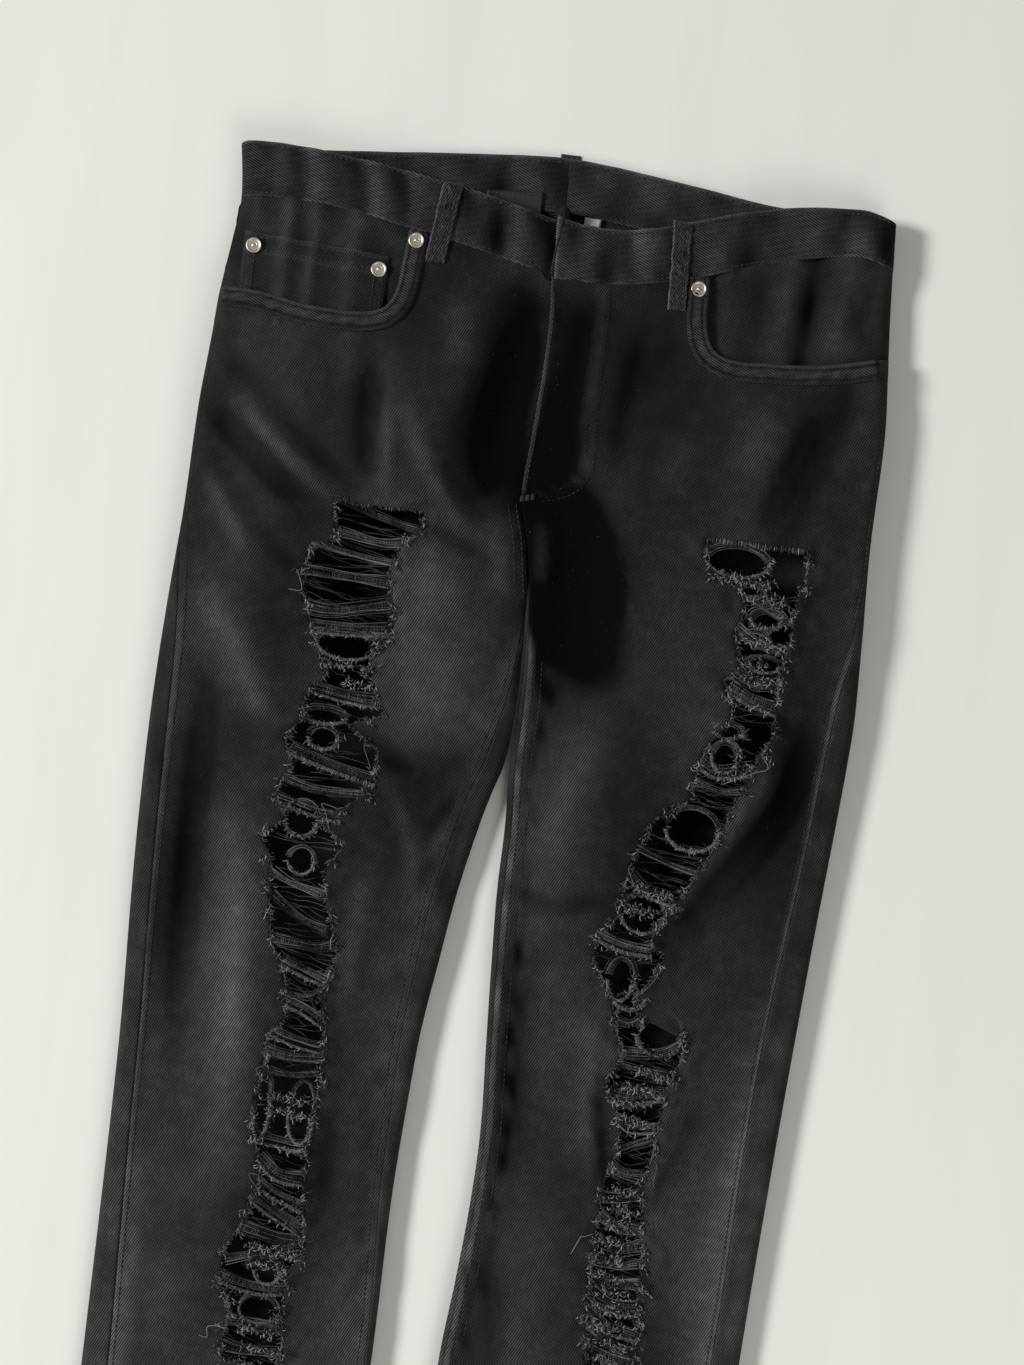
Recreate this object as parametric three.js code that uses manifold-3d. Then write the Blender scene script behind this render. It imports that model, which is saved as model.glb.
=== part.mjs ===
// Ripped five-pocket jeans, laid flat on their back with the front up.
// Millimetres. +X is the garment's right side as it lies, +Y runs from the hems to the waist, +Z is up.
// A place on the garment is (x, d): d is the distance below the front waist, so y = WAIST_Y - d.
import * as THREE from "three";
import { mergeVertices } from "three/addons/utils/BufferGeometryUtils.js";
import Module from "manifold-3d";

// ---------- driving dimensions ----------
const WAIST_Y = 500; // y of the front waist at the fly
const HEM = 1042; // depth of the hems
const CROTCH = 250; // depth at which the two legs part
const TACK = 186; // depth of the bar tack under the fly
const SEAM_GAP = 0.3; // clearance between two pieces at a seam
const DENIM = 1.5; // wall of a single panel
const BAND_WALL = 3; // folded waistband
const BAND_HEIGHT = 36;
const LIFT = 1.8; // the seat rides this high on the back pockets and loops
const LIFT_END = 290; // depth at which the legs lie on the floor again
const FLY_UNDERLAP = 5; // width of the left front under the fly edge
const FLY_STEP = 2.3; // how far it lies lower there
const RIVET_RADIUS = 5;

const LEFT = -1;
const RIGHT = 1;

// ---------- smooth curves through a few stations ----------
// Returns the Catmull-Rom curve through [[at, value], ...] as a function, held level past its ends.
function through(stations) {
  const slope = (i) => {
    const a = stations[Math.max(i - 1, 0)];
    const b = stations[Math.min(i + 1, stations.length - 1)];
    return (b[1] - a[1]) / (b[0] - a[0]);
  };
  return (at) => {
    const last = stations.length - 1;
    if (at <= stations[0][0]) return stations[0][1];
    if (at >= stations[last][0]) return stations[last][1];
    const i = stations.findIndex((s) => s[0] > at) - 1;
    const [a, p] = stations[i];
    const [b, q] = stations[i + 1];
    const w = b - a;
    const t = (at - a) / w;
    const t2 = t * t;
    const t3 = t2 * t;
    return (
      p * (2 * t3 - 3 * t2 + 1) +
      q * (3 * t2 - 2 * t3) +
      w * (slope(i) * (t3 - 2 * t2 + t) + slope(i + 1) * (t3 - t2))
    );
  };
}

const clamp = (v, low, high) => Math.min(Math.max(v, low), high);
// 0 below a, 1 above b, smooth between
function step(v, a, b) {
  const t = clamp((v - a) / (b - a), 0, 1);
  return t * t * (3 - 2 * t);
}
const mix = (a, b, t) => a + (b - a) * t;

// ---------- the garment's outline from above ----------
const outerEdge = {
  [LEFT]: through([
    [-24, -215], [0, -211.5], [15, -210.5], [40, -213], [75, -217], [105, -218.5], [150, -221.5],
    [220, -223], [290, -227], [360, -229], [450, -228], [565, -223.7], [700, -222.5], [1040, -222],
  ]),
  [RIGHT]: through([
    [-28, 216], [0, 217.5], [40, 220], [75, 222.7], [120, 225.7], [190, 225], [257, 227.5],
    [303, 229], [350, 227], [440, 221], [510, 216.7], [600, 211.8], [727, 206], [1040, 196],
  ]),
};
// The centre front: the fly edge, then the rise seam, then where the two thighs touch.
const centreFront = through([
  [0, -3.5], [43, -4.4], [60, -1.6], [100, -1.2], [150, -3.6], [186, -5.2], [213, 1.5], [250, 7.5],
]);
const innerEdge = {
  [LEFT]: through([
    [250, 7.5], [277, 8.6], [320, 9.2], [359, 6], [380, 0], [400, -5], [447, -14.4], [494, -21],
    [540, -27], [587, -30], [650, -32.7], [756, -33], [1040, -40],
  ]),
  [RIGHT]: through([
    [250, 7.5], [277, 8.6], [320, 9.2], [359, 7.6], [398, 9.6], [444, 9.7], [490, 11.8], [540, 14.6],
    [600, 18], [650, 17], [700, 13.6], [751, 9.2], [850, 7], [1040, 10],
  ]),
};
const centreBack = through([[-41, 0], [100, 0.5], [250, 7.5]]);
// Distance of the side seam and the inseam from the leg's edge, along the cloth on top.
const sideSeamInset = {
  [LEFT]: through([
    [75, 0], [200, 2], [280, 14], [340, 18], [600, 18], [700, 20], [780, 22], [1040, 22],
  ]),
  [RIGHT]: through([
    [75, 0], [190, 2], [250, 10], [300, 20], [400, 22], [540, 26], [700, 23], [1040, 23],
  ]),
};
const inseamInset = {
  [LEFT]: through([[250, 0], [300, 8], [360, 17], [450, 19], [540, 16], [640, 12], [740, 8], [1040, 8]]),
  [RIGHT]: through([[250, 0], [300, 6], [400, 8], [560, 7], [1040, 7]]),
};

// ---------- the waist, from above ----------
const bandTopFront = {
  [LEFT]: through([[-215, -20.7], [-205, -22.9], [-178, -23.2], [-114, -16.7], [-56, -7.4], [-4, 3.4]]),
  [RIGHT]: through([[-4, 1], [18, 5.8], [50, 5], [85, -4.4], [130, -17.8], [195, -26], [218, -21.4]]),
};
const bandBottomFront = {
  [LEFT]: through([
    [-215, 14.2], [-181, 12.4], [-144, 14.5], [-99, 22], [-65, 27.8], [-22, 36.2], [-11, 38.5],
    [-6, 44.2], [2, 45.2],
  ]),
  [RIGHT]: through([
    [-4, 43.2], [29, 43], [55, 40], [88, 32.5], [122, 21.1], [157, 11.6], [195, 5], [218, 10],
  ]),
};
const bandTopBack = through([
  [-215, -20.7], [-178, -24.2], [-116, -30.2], [-73, -34.7], [-7, -40.3], [24, -38.8], [86, -32],
  [136, -25.5], [171, -24.6], [216, -21.4],
]);
const bandBottomBack = (x) => {
  const shrink = x > 0 ? 5 : 1; // the band narrows a little towards each side seam
  return bandTopBack(x) + BAND_HEIGHT - shrink * step(Math.abs(x), 120, 215);
};
const yokeSeam = (x) => 62 - 12 * Math.min(1, Math.abs(x) / 215);

// ---------- heights ----------
const crown = through([
  [-30, 20], [40, 21], [110, 27], [200, 31], [300, 28], [400, 22], [600, 17], [1040, 13],
]);
// Radius of the cloth's turn round each edge.
const outerRoll = through([
  [-30, 8.5], [60, 9.5], [120, 10.5], [260, 10], [400, 8], [700, 6.5], [1040, 5.5],
]);
const innerRoll = (d) =>
  3 * step(d, CROTCH - 20, CROTCH) + 3.5 * step(d, CROTCH, CROTCH + 60) - step(d, 700, HEM);
// Height of the top cloth at the centre front, falling into the crotch.
const centreTop = through([[-30, 18], [40, 18.5], [100, 19], [170, 17], [200, 13], [230, 6], [250, 3]]);
const centreBottom = (d) => 3 * step(d, CROTCH - 22, CROTCH);
const lift = (d) => LIFT * (1 - step(d, LIFT_END - 50, LIFT_END));

// The largest soft folds of the front: [x0, d0, x1, d1, half width, height].
const FOLDS = [
  [-196, 128, -120, 195, 13, -3.4], // drag line from the left hip to the top of the rips
  [-204, 186, -148, 250, 12, -2.4],
  [-96, 118, -88, 186, 14, 2.2],
  [-20, 64, -44, 178, 24, -4.6], // the hollow beside the fly
  [34, 196, 58, 290, 24, -4.2], // the hollow inside the right thigh
  [199, 96, 166, 196, 15, -3], // drag line under the right pocket
  [80, 80, 62, 112, 14, -2],
];
function folds(x, d) {
  let z = 0;
  for (const [x0, d0, x1, d1, width, height] of FOLDS) {
    const length2 = (x1 - x0) ** 2 + (d1 - d0) ** 2;
    const t = clamp(((x - x0) * (x1 - x0) + (d - d0) * (d1 - d0)) / length2, 0, 1);
    const away2 = (x - x0 - t * (x1 - x0)) ** 2 + (d - d0 - t * (d1 - d0)) ** 2;
    z += height * Math.exp(-away2 / (width * width));
  }
  return z;
}

// ---------- the two halves of the garment as flattened rings ----------
// A half's ring at depth d starts at its outermost point. On top, `a` is the distance along the cloth from
// there towards the middle; underneath, `b` is the same distance along the bottom.
const isLeg = (d) => d >= CROTCH;
// Each half stops this far from the middle line; the thighs stand a little further apart.
const middleGap = (d) => SEAM_GAP * (0.6 + 2 * step(d, 195, 245));
const middleTop = (side, d) => {
  if (isLeg(d)) return innerEdge[side](d) + side * middleGap(d);
  const underlap = side === LEFT ? FLY_UNDERLAP * (1 - step(d, TACK - 24, TACK - 8)) : 0;
  return centreFront(d) + side * middleGap(d) + underlap;
};
const middleBottom = (side, d) => (isLeg(d) ? innerEdge[side](d) : centreBack(d)) + side * middleGap(d);

const quarter = (radius) => (Math.PI * radius) / 2;
const topLength = (side, d) => {
  const width = Math.abs(middleTop(side, d) - outerEdge[side](d));
  return width - outerRoll(d) - innerRoll(d) + quarter(outerRoll(d)) + quarter(innerRoll(d));
};
const bottomLength = (side, d) => {
  const width = Math.abs(middleBottom(side, d) - outerEdge[side](d));
  return width - outerRoll(d) - innerRoll(d) + quarter(outerRoll(d)) + quarter(innerRoll(d));
};

// Height of the top cloth, from its distances e and f to the outer and inner edges.
function topHeight(side, x, d) {
  const e = Math.max(Math.abs(x - outerEdge[side](d)), 0);
  const f = Math.max(Math.abs(middleTop(side, d) - x), 0);
  const full = crown(d);
  const outer = outerRoll(d);
  const inner = innerRoll(d);
  const rise = (from, radius) => (from < radius ? Math.sqrt(radius ** 2 - (radius - from) ** 2) : radius);
  const low = isLeg(d) ? inner : centreTop(d);
  const fromOuter = (outer + rise(e, outer) + (full - 2 * outer) * step(e, 0.6 * outer, 75)) / full;
  const fromInner = (low + rise(f, inner) + (full - low - inner) * step(f, 0.6 * inner, 70)) / full;
  const soft = step(e, 2, 26) * step(f, 0, 22);
  const under = side === LEFT ? FLY_STEP * (1 - step(d, TACK - 4, TACK + 8)) * (1 - step(f, 8, 26)) : 0;
  return full * fromOuter * fromInner + folds(x, d) * soft - under + lift(d);
}

function pointOnTop(side, a, d) {
  const outer = outerRoll(d);
  const inner = innerRoll(d);
  const length = topLength(side, d);
  let e;
  if (a < 0) return pointUnder(side, -a, d);
  if (a < quarter(outer)) e = outer * (1 - Math.cos(a / outer));
  else e = outer + a - quarter(outer);
  let x = outerEdge[side](d) - side * e;
  const left = length - a; // distance still to go to the inner edge
  if (inner > 0 && left < quarter(inner)) {
    x = middleTop(side, d) + side * inner * (1 - Math.cos(left / inner));
  }
  return new THREE.Vector3(x, WAIST_Y - d, topHeight(side, x, d));
}

function pointUnder(side, b, d) {
  const outer = outerRoll(d);
  const inner = innerRoll(d);
  const length = bottomLength(side, d);
  const left = length - b;
  if (b < 0) return pointOnTop(side, -b, d);
  if (left < 0) return pointOnTop(side, topLength(side, d) + left, d);
  if (b < quarter(outer)) {
    const x = outerEdge[side](d) - side * outer * (1 - Math.cos(b / outer));
    return new THREE.Vector3(x, WAIST_Y - d, outer * (1 - Math.sin(b / outer)) + lift(d));
  }
  if (inner > 0 && left < quarter(inner)) {
    const x = middleBottom(side, d) + side * inner * (1 - Math.cos(left / inner));
    const z = (isLeg(d) ? inner : centreBottom(d)) * (1 - Math.sin(left / inner));
    return new THREE.Vector3(x, WAIST_Y - d, z + lift(d));
  }
  const x = outerEdge[side](d) - side * (outer + b - quarter(outer));
  return new THREE.Vector3(x, WAIST_Y - d, lift(d));
}

// A place on the cloth's outer face, with the direction that faces away from the garment's inside.
function skin(pointAt, side, along, depth) {
  const across = pointAt(side, along + 0.4, depth).sub(pointAt(side, along - 0.4, depth));
  const down = pointAt(side, along, depth + 1.5).sub(pointAt(side, along, depth - 1.5));
  const facing = pointAt === pointOnTop ? side : -side;
  return { at: pointAt(side, along, depth), out: across.cross(down).normalize().multiplyScalar(facing) };
}

// The same for a place (x, d) seen from above.
function topSkin(side, x, d) {
  const near = 0.3;
  const slopeX = (topHeight(side, x + near, d) - topHeight(side, x - near, d)) / (2 * near);
  const slopeD = (topHeight(side, x, d + near) - topHeight(side, x, d - near)) / (2 * near);
  return {
    at: new THREE.Vector3(x, WAIST_Y - d, topHeight(side, x, d)),
    out: new THREE.Vector3(-slopeX, slopeD, 1).normalize(),
  };
}

// ---------- walls ----------
// rows[i][j] are places on a surface. The wall runs from `out` to `out - thickness` along their outward
// directions and is closed round its border; `flip` is for columns that run the other way.
function wall(rows, thickness, out = 0, flip = false) {
  const n = rows.length;
  const m = rows[0].length;
  const outside = [];
  const inside = [];
  for (const place of rows.flat()) {
    outside.push(place.at.clone().addScaledVector(place.out, out));
    inside.push(place.at.clone().addScaledVector(place.out, out - thickness));
  }
  const points = [...outside, ...inside];
  const shift = n * m;
  const index = [];
  const face = (a, b, c) => (flip ? index.push(a, c, b) : index.push(a, b, c));
  const quad = (a, b, c, d) => {
    face(a, b, c);
    face(a, c, d);
  };
  for (let i = 0; i + 1 < n; i++) {
    for (let j = 0; j + 1 < m; j++) {
      const a = i * m + j;
      quad(a, a + m, a + m + 1, a + 1);
      quad(a + shift, a + 1 + shift, a + m + 1 + shift, a + m + shift);
    }
  }
  for (let j = 0; j + 1 < m; j++) {
    const first = j;
    const last = (n - 1) * m + j;
    quad(first, first + 1, first + 1 + shift, first + shift);
    quad(last + 1, last, last + shift, last + 1 + shift);
  }
  for (let i = 0; i + 1 < n; i++) {
    const first = i * m;
    const last = i * m + m - 1;
    quad(first + m, first, first + shift, first + m + shift);
    quad(last, last + m, last + m + shift, last + shift);
  }
  const geometry = new THREE.BufferGeometry().setFromPoints(points);
  geometry.setIndex(index);
  return geometry;
}

// ---------- booleans ----------
const wasm = await Module();
wasm.setup();

function solid(geometry) {
  const bare = geometry.clone();
  bare.deleteAttribute("normal");
  bare.deleteAttribute("uv");
  const merged = mergeVertices(bare, 1e-3);
  return new wasm.Manifold(
    new wasm.Mesh({
      numProp: 3,
      vertProperties: new Float32Array(merged.attributes.position.array),
      triVerts: new Uint32Array(merged.index.array),
    }),
  );
}

function geometryOf(made) {
  const mesh = made.getMesh();
  const geometry = new THREE.BufferGeometry();
  geometry.setAttribute("position", new THREE.BufferAttribute(new Float32Array(mesh.vertProperties), 3));
  geometry.setIndex(new THREE.BufferAttribute(new Uint32Array(mesh.triVerts), 1));
  return geometry;
}

// An upright cutter through the top cloth. Its outline is a list of [x, d].
function cutter(outline, low = 1, high = 60) {
  const shape = new THREE.Shape(outline.map(([x, d]) => new THREE.Vector2(x, WAIST_Y - d)));
  const geometry = new THREE.ExtrudeGeometry(shape, { depth: high - low, bevelEnabled: false });
  geometry.translate(0, 0, low);
  return geometry;
}

// ---------- front panels ----------
const DEPTHS = [
  60, 80, 105, 135, 165, 186, 200, 218, 236, 250, 275, 305, 345, 400, 470, 550, 640, 740, 850, 950, HEM,
];
const FRONT_COLUMNS = [0, 0.025, 0.06, 0.13, 0.23, 0.35, 0.47, 0.59, 0.71, 0.82, 0.91, 0.965, 1];

function frontRows(side) {
  const cuff = (x) => bandBottomFront[side](x) + SEAM_GAP;
  const place = (share, depth) => {
    const start = sideSeamInset[side](depth) + SEAM_GAP / 2;
    const end = topLength(side, depth) - (isLeg(depth) ? inseamInset[side](depth) + SEAM_GAP / 2 : 0);
    return skin(pointOnTop, side, mix(start, end, share), depth);
  };
  const rows = [FRONT_COLUMNS.map((share) => place(share, cuff(place(share, 40).at.x)))];
  for (const depth of DEPTHS) rows.push(FRONT_COLUMNS.map((share) => place(share, depth)));
  return rows;
}

// The pocket mouth's curve, from the waistband down and out to the side seam, as [x, d].
const POCKET_MOUTH = {
  [LEFT]: [
    [-97, 0], [-97.5, 22], [-98.5, 35], [-99.5, 49], [-101, 63], [-105, 73], [-113, 79], [-130, 81.6],
    [-158, 80.4], [-188, 75], [-216, 74], [-240, 74], [-240, 0],
  ],
  [RIGHT]: [
    [98.5, 0], [98.5, 30], [99, 43], [99.5, 57], [102.5, 70.5], [108.5, 79], [121, 83], [142, 82.4],
    [165, 80.7], [190, 76], [222, 68], [240, 67], [240, 0],
  ],
};

// The largest holes of each ladder of rips: [x, d, half width, half length, tilt in degrees].
const RIPS = {
  [LEFT]: [
    [-92, 213, 26, 4, -7], [-98, 240, 17, 5, -7], [-110, 263, 24, 6, -7], [-104, 294, 19, 10, -7],
    [-104, 330, 20, 5, -7], [-113, 357, 15, 7, -7], [-107, 384, 22, 6, -7], [-122, 411, 12, 10, -7],
    [-118, 440, 15, 7, -7], [-113, 478, 17, 6, -7], [-106, 512, 12, 9, -7], [-108, 553, 15, 6, -7],
    [-109, 598, 18, 15, 0], [-107, 645, 13, 6, -7], [-110, 680, 19, 6, -7], [-109, 706, 11, 7, -7],
    [-110, 733, 13, 7, -7], [-111, 768, 16, 6, -7],
  ],
  [RIGHT]: [
    [138, 211, 19, 8, -7], [150, 229, 9, 3, -7], [161, 246, 11, 4.5, -7], [162, 276, 11, 4, -7],
    [155, 305, 12, 5, -7], [146, 337, 11, 9, -7], [140, 362, 10, 5, 0], [130, 387, 16, 11, 20],
    [106, 443, 14, 10, -30], [98, 488, 9, 11, 0], [130, 521, 16, 11, -7], [112, 556, 10, 8, 0],
    [121, 590, 9, 9, 0], [115, 640, 12, 7, 0], [117, 680, 14, 6, -7], [119, 720, 13, 7, -7],
    [119, 762, 14, 6, -7],
  ],
};

function ripOutline([x, d, halfWidth, halfLength, tilt]) {
  const turn = THREE.MathUtils.degToRad(tilt);
  const corners = 10;
  return Array.from({ length: corners }, (_, i) => {
    const angle = (2 * Math.PI * i) / corners;
    const across = halfWidth * Math.cos(angle);
    const along = halfLength * Math.sin(angle);
    return [
      x + across * Math.cos(turn) - along * Math.sin(turn),
      d + across * Math.sin(turn) + along * Math.cos(turn),
    ];
  });
}

function frontPanel(side) {
  const panel = wall(frontRows(side), DENIM, 0, side === RIGHT);
  let made = solid(panel).subtract(solid(cutter(POCKET_MOUTH[side])));
  for (const rip of RIPS[side]) made = made.subtract(solid(cutter(ripOutline(rip), 4)));
  return geometryOf(made);
}

// ---------- back panels and yokes ----------
// Places along the cloth from the side seam, over the roll, across and up the inner roll to the inseam.
function backStops(side, depth, withInnerRoll) {
  const start = -sideSeamInset[side](depth) + SEAM_GAP / 2;
  const length = bottomLength(side, depth);
  const roll = quarter(outerRoll(depth));
  const flatEnd = length - (withInnerRoll ? Math.max(quarter(innerRoll(depth)), 9) : 0);
  const stops = [0, 0.25, 0.5, 0.7, 0.85, 1].map((share) => mix(start, roll, share));
  for (const share of [0.12, 0.3, 0.5, 0.7, 0.88, 1]) stops.push(mix(roll, flatEnd, share));
  if (withInnerRoll) {
    const end = length + (isLeg(depth) ? inseamInset[side](depth) - SEAM_GAP / 2 : 0);
    for (const share of [0.2, 0.4, 0.6, 0.8, 1]) stops.push(mix(flatEnd, end, share));
  }
  return stops;
}

// One row of a back panel at one depth, or along a curve that gives the depth at each x.
function backRow(side, depth, withInnerRoll, depthAt = () => depth) {
  return backStops(side, depth, withInnerRoll).map((stop, i) => {
    const there = depthAt(pointUnder(side, stop, depth).x);
    return skin(pointUnder, side, backStops(side, there, withInnerRoll)[i], there);
  });
}

function backPanel(side) {
  const rows = [backRow(side, 60, true, (x) => yokeSeam(x) + SEAM_GAP)];
  for (const depth of DEPTHS.slice(1)) rows.push(backRow(side, depth, true));
  return wall(rows, DENIM, 0, side === LEFT);
}

function yoke(side) {
  const seamTop = (x) => bandBottomBack(x) + SEAM_GAP;
  const rows = [0, 0.33, 0.66, 1].map((share) =>
    backRow(side, 40, false, (x) => mix(seamTop(x), yokeSeam(x), share)),
  );
  return wall(rows, DENIM, 0, side === LEFT);
}

// ---------- waistband ----------
function waistband(side) {
  const columns = [];
  const across = [0, 0.5, 1];
  for (const share of FRONT_COLUMNS.slice(1).reverse()) {
    const x = pointOnTop(side, share * topLength(side, 40), 40).x;
    const sink = side === LEFT ? 2.2 * (1 - step(Math.abs(x - centreFront(20)), 8, 50)) : 0;
    columns.push(
      across.map((v) => {
        const d = mix(bandTopFront[side](x), bandBottomFront[side](x), v);
        const place = skin(pointOnTop, side, share * topLength(side, d), d);
        place.at.z -= sink;
        return place;
      }),
    );
  }
  for (const share of [0, 0.03, 0.06, 0.14, 0.3, 0.5, 0.7, 0.86, 1]) {
    const x = pointUnder(side, share * bottomLength(side, 0), 0).x;
    columns.push(
      across.map((v) => {
        const d = mix(bandTopBack(x), bandBottomBack(x), v);
        return skin(pointUnder, side, share * bottomLength(side, d), d);
      }),
    );
  }
  const rows = across.map((_, i) => columns.map((column) => column[i]));
  return wall(rows, BAND_WALL, 0, side === LEFT);
}

// ---------- pieces that lie on or under the top cloth ----------
// A patch between four corners [x, d], laid on the front's points and moved out along them.
function patch(side, corners, acrossCells, alongCells, out, thickness) {
  const [p, q, r, s] = corners;
  const rows = [];
  for (let i = 0; i <= alongCells; i++) {
    const v = i / alongCells;
    const row = [];
    for (let j = 0; j <= acrossCells; j++) {
      const u = j / acrossCells;
      const x = mix(mix(p[0], q[0], u), mix(s[0], r[0], u), v);
      const d = mix(mix(p[1], q[1], u), mix(s[1], r[1], u), v);
      row.push(topSkin(side, x, d));
    }
    rows.push(row);
  }
  return wall(rows, thickness, out, false);
}

const COIN_OUT = -1.9;
const COIN_WALL = 1.1;
const FACING_OUT = -3.4;
const FACING_WALL = 1.3;

function pocketFacing(side) {
  const shares = [0, 0.03, 0.08, 0.16, 0.3, 0.45, 0.6, 0.75, 0.88, 1];
  const inner = side === LEFT ? -84 : 86;
  const rows = [0, 0.2, 0.45, 0.7, 1].map((v) =>
    shares.map((share) => {
      const bandX = mix(outerEdge[side](40), inner, share);
      const d = mix(bandBottomFront[side](bandX) + SEAM_GAP, 96, v);
      const e = Math.abs(bandX - outerEdge[side](40));
      const x = outerEdge[side](d) - side * Math.max(e, 0.4);
      return topSkin(side, x, d);
    }),
  );
  return wall(rows, FACING_WALL, FACING_OUT, side === RIGHT);
}

function coinPocket() {
  return patch(LEFT, [[-203, 38], [-109, 44], [-109, 94], [-203, 86]], 7, 3, COIN_OUT, COIN_WALL);
}

// A belt loop standing on the waistband, from its top middle to its bottom middle.
function frontLoop(side, top, bottom, width) {
  const half = width / 2;
  const corners = [
    [top[0] - half, top[1]], [top[0] + half, top[1]],
    [bottom[0] + half, bottom[1]], [bottom[0] - half, bottom[1]],
  ];
  return patch(side, corners, 2, 6, 2.3, 1.9);
}

function slab(outline, low, high) {
  return cutter(outline, low, high);
}

function rivet(side, x, d, out) {
  const r = RIVET_RADIUS;
  const profile = [
    [0, 0], [r * 0.9, 0], [r, 0.35], [r, 0.8], [r * 0.86, 1.15], [r * 0.6, 0.95], [r * 0.36, 1],
    [r * 0.3, 1.8], [0, 2.1],
  ].map(([radius, height]) => new THREE.Vector2(radius, height));
  const geometry = new THREE.LatheGeometry(profile, 14);
  geometry.rotateX(Math.PI / 2);
  const place = topSkin(side, x, d);
  geometry.applyQuaternion(new THREE.Quaternion().setFromUnitVectors(new THREE.Vector3(0, 0, 1), place.out));
  const base = place.at.addScaledVector(place.out, out);
  geometry.translate(base.x, base.y, base.z);
  return geometry;
}

// ---------- colours ----------
const denim = new THREE.MeshStandardMaterial({ color: 0x232427, roughness: 0.95 });
const inside = new THREE.MeshStandardMaterial({ color: 0x1d1e21, roughness: 0.95 });
const metal = new THREE.MeshStandardMaterial({ color: 0xc9bfae, roughness: 0.35, metalness: 1 });
const leather = new THREE.MeshStandardMaterial({ color: 0x17181a, roughness: 0.7 });
const ribbon = new THREE.MeshStandardMaterial({ color: 0xd8d8d4, roughness: 0.8 });

// ---------- the garment ----------
const garment = new THREE.Group();
function add(name, geometry, material) {
  const mesh = new THREE.Mesh(geometry, material);
  mesh.name = name;
  garment.add(mesh);
}

for (const [side, name] of [[LEFT, "left"], [RIGHT, "right"]]) {
  add("front_" + name, frontPanel(side), denim);
  add("back_" + name, backPanel(side), denim);
  add("back_yoke_" + name, yoke(side), denim);
  add("waistband_" + name, waistband(side), denim);
  add("pocket_facing_" + name, pocketFacing(side), inside);
}
add("coin_pocket", coinPocket(), denim);

// The back pockets and the back loops are what the seat lies on.
const UNDER_HIGH = LIFT - SEAM_GAP;
const BACK_POCKET = [[40, 100], [176, 88], [170, 212], [108, 236], [50, 220]];
const BACK_LOOP = { x: 142, width: 12, length: 54 };
for (const [side, name] of [[LEFT, "left"], [RIGHT, "right"]]) {
  const outline = BACK_POCKET.map(([x, d]) => [x * side, d]);
  add("back_pocket_" + name, slab(outline, 0, UNDER_HIGH), denim);
  const x0 = BACK_LOOP.x * side - BACK_LOOP.width / 2;
  const x1 = x0 + BACK_LOOP.width;
  const top = bandTopBack(BACK_LOOP.x * side) - 1;
  const bottom = top + BACK_LOOP.length;
  const loop = [[x0, top], [x1, top], [x1, bottom], [x0, bottom]];
  add("belt_loop_back_" + name, slab(loop, 0, UNDER_HIGH), denim);
}
add("belt_loop_centre_back", slab([[-6.5, -42], [6.5, -42], [6.5, 13], [-6.5, 13]], 0, UNDER_HIGH), denim);
add("belt_loop_front_left", frontLoop(LEFT, [-73.2, -11], [-79.5, 42.6], 13), denim);
add("belt_loop_front_right", frontLoop(RIGHT, [77.2, -4], [79.8, 54.5], 12), denim);

add("rivet_coin_left", rivet(LEFT, -197, 45, COIN_OUT + SEAM_GAP), metal);
add("rivet_coin_right", rivet(LEFT, -114.5, 51, COIN_OUT + SEAM_GAP), metal);
add("rivet_pocket_left", rivet(LEFT, -91.5, 30, SEAM_GAP), metal);
add("rivet_pocket_right", rivet(RIGHT, 93, 39, SEAM_GAP), metal);

const insideBack = LIFT + BAND_WALL + SEAM_GAP;
const patchCorners = [[-52, -13], [-15, -16], [-14, 20], [-51, 22]];
const ribbonCorners = [[14, -3], [25, -2.5], [24, 14], [13, 13.5]];
add("patch_label", slab(patchCorners, insideBack, insideBack + 1.1), leather);
add("care_label", slab(ribbonCorners, insideBack, insideBack + 0.9), ribbon);

export default garment;
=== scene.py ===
# Black ripped five-pocket jeans, laid flat on their back with the front up.
# Lengths on the garment are millimetres. A place on it is (x, d): d is the distance below the front waist.
# Every cloth is a thin shell on one shared form, with its creases, seams and frayed yarns.
import functools
import math

import bpy
import numpy as np
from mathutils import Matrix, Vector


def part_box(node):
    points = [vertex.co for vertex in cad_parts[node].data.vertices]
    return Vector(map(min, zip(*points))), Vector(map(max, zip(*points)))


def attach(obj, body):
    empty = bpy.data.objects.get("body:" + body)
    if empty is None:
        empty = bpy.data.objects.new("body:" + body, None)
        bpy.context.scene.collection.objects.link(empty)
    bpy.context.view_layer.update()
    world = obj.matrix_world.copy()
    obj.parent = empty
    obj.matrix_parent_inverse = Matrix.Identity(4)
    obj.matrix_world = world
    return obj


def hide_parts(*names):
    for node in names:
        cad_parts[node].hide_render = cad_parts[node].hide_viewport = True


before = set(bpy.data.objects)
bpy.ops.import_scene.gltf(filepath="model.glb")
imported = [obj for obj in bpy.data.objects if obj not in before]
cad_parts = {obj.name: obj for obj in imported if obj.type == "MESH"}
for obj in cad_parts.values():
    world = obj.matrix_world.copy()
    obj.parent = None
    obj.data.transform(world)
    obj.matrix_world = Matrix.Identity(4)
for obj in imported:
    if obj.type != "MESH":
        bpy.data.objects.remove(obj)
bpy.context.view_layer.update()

bl_info = {
    "name": "Ripped Jeans",
    "version": (1, 0, 0),
    "blender": (4, 5, 0),
    "location": "View3D > Sidebar > Jeans",
    "description": "Builds black ripped jeans laid flat, piece by piece",
    "category": "Object",
}

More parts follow.
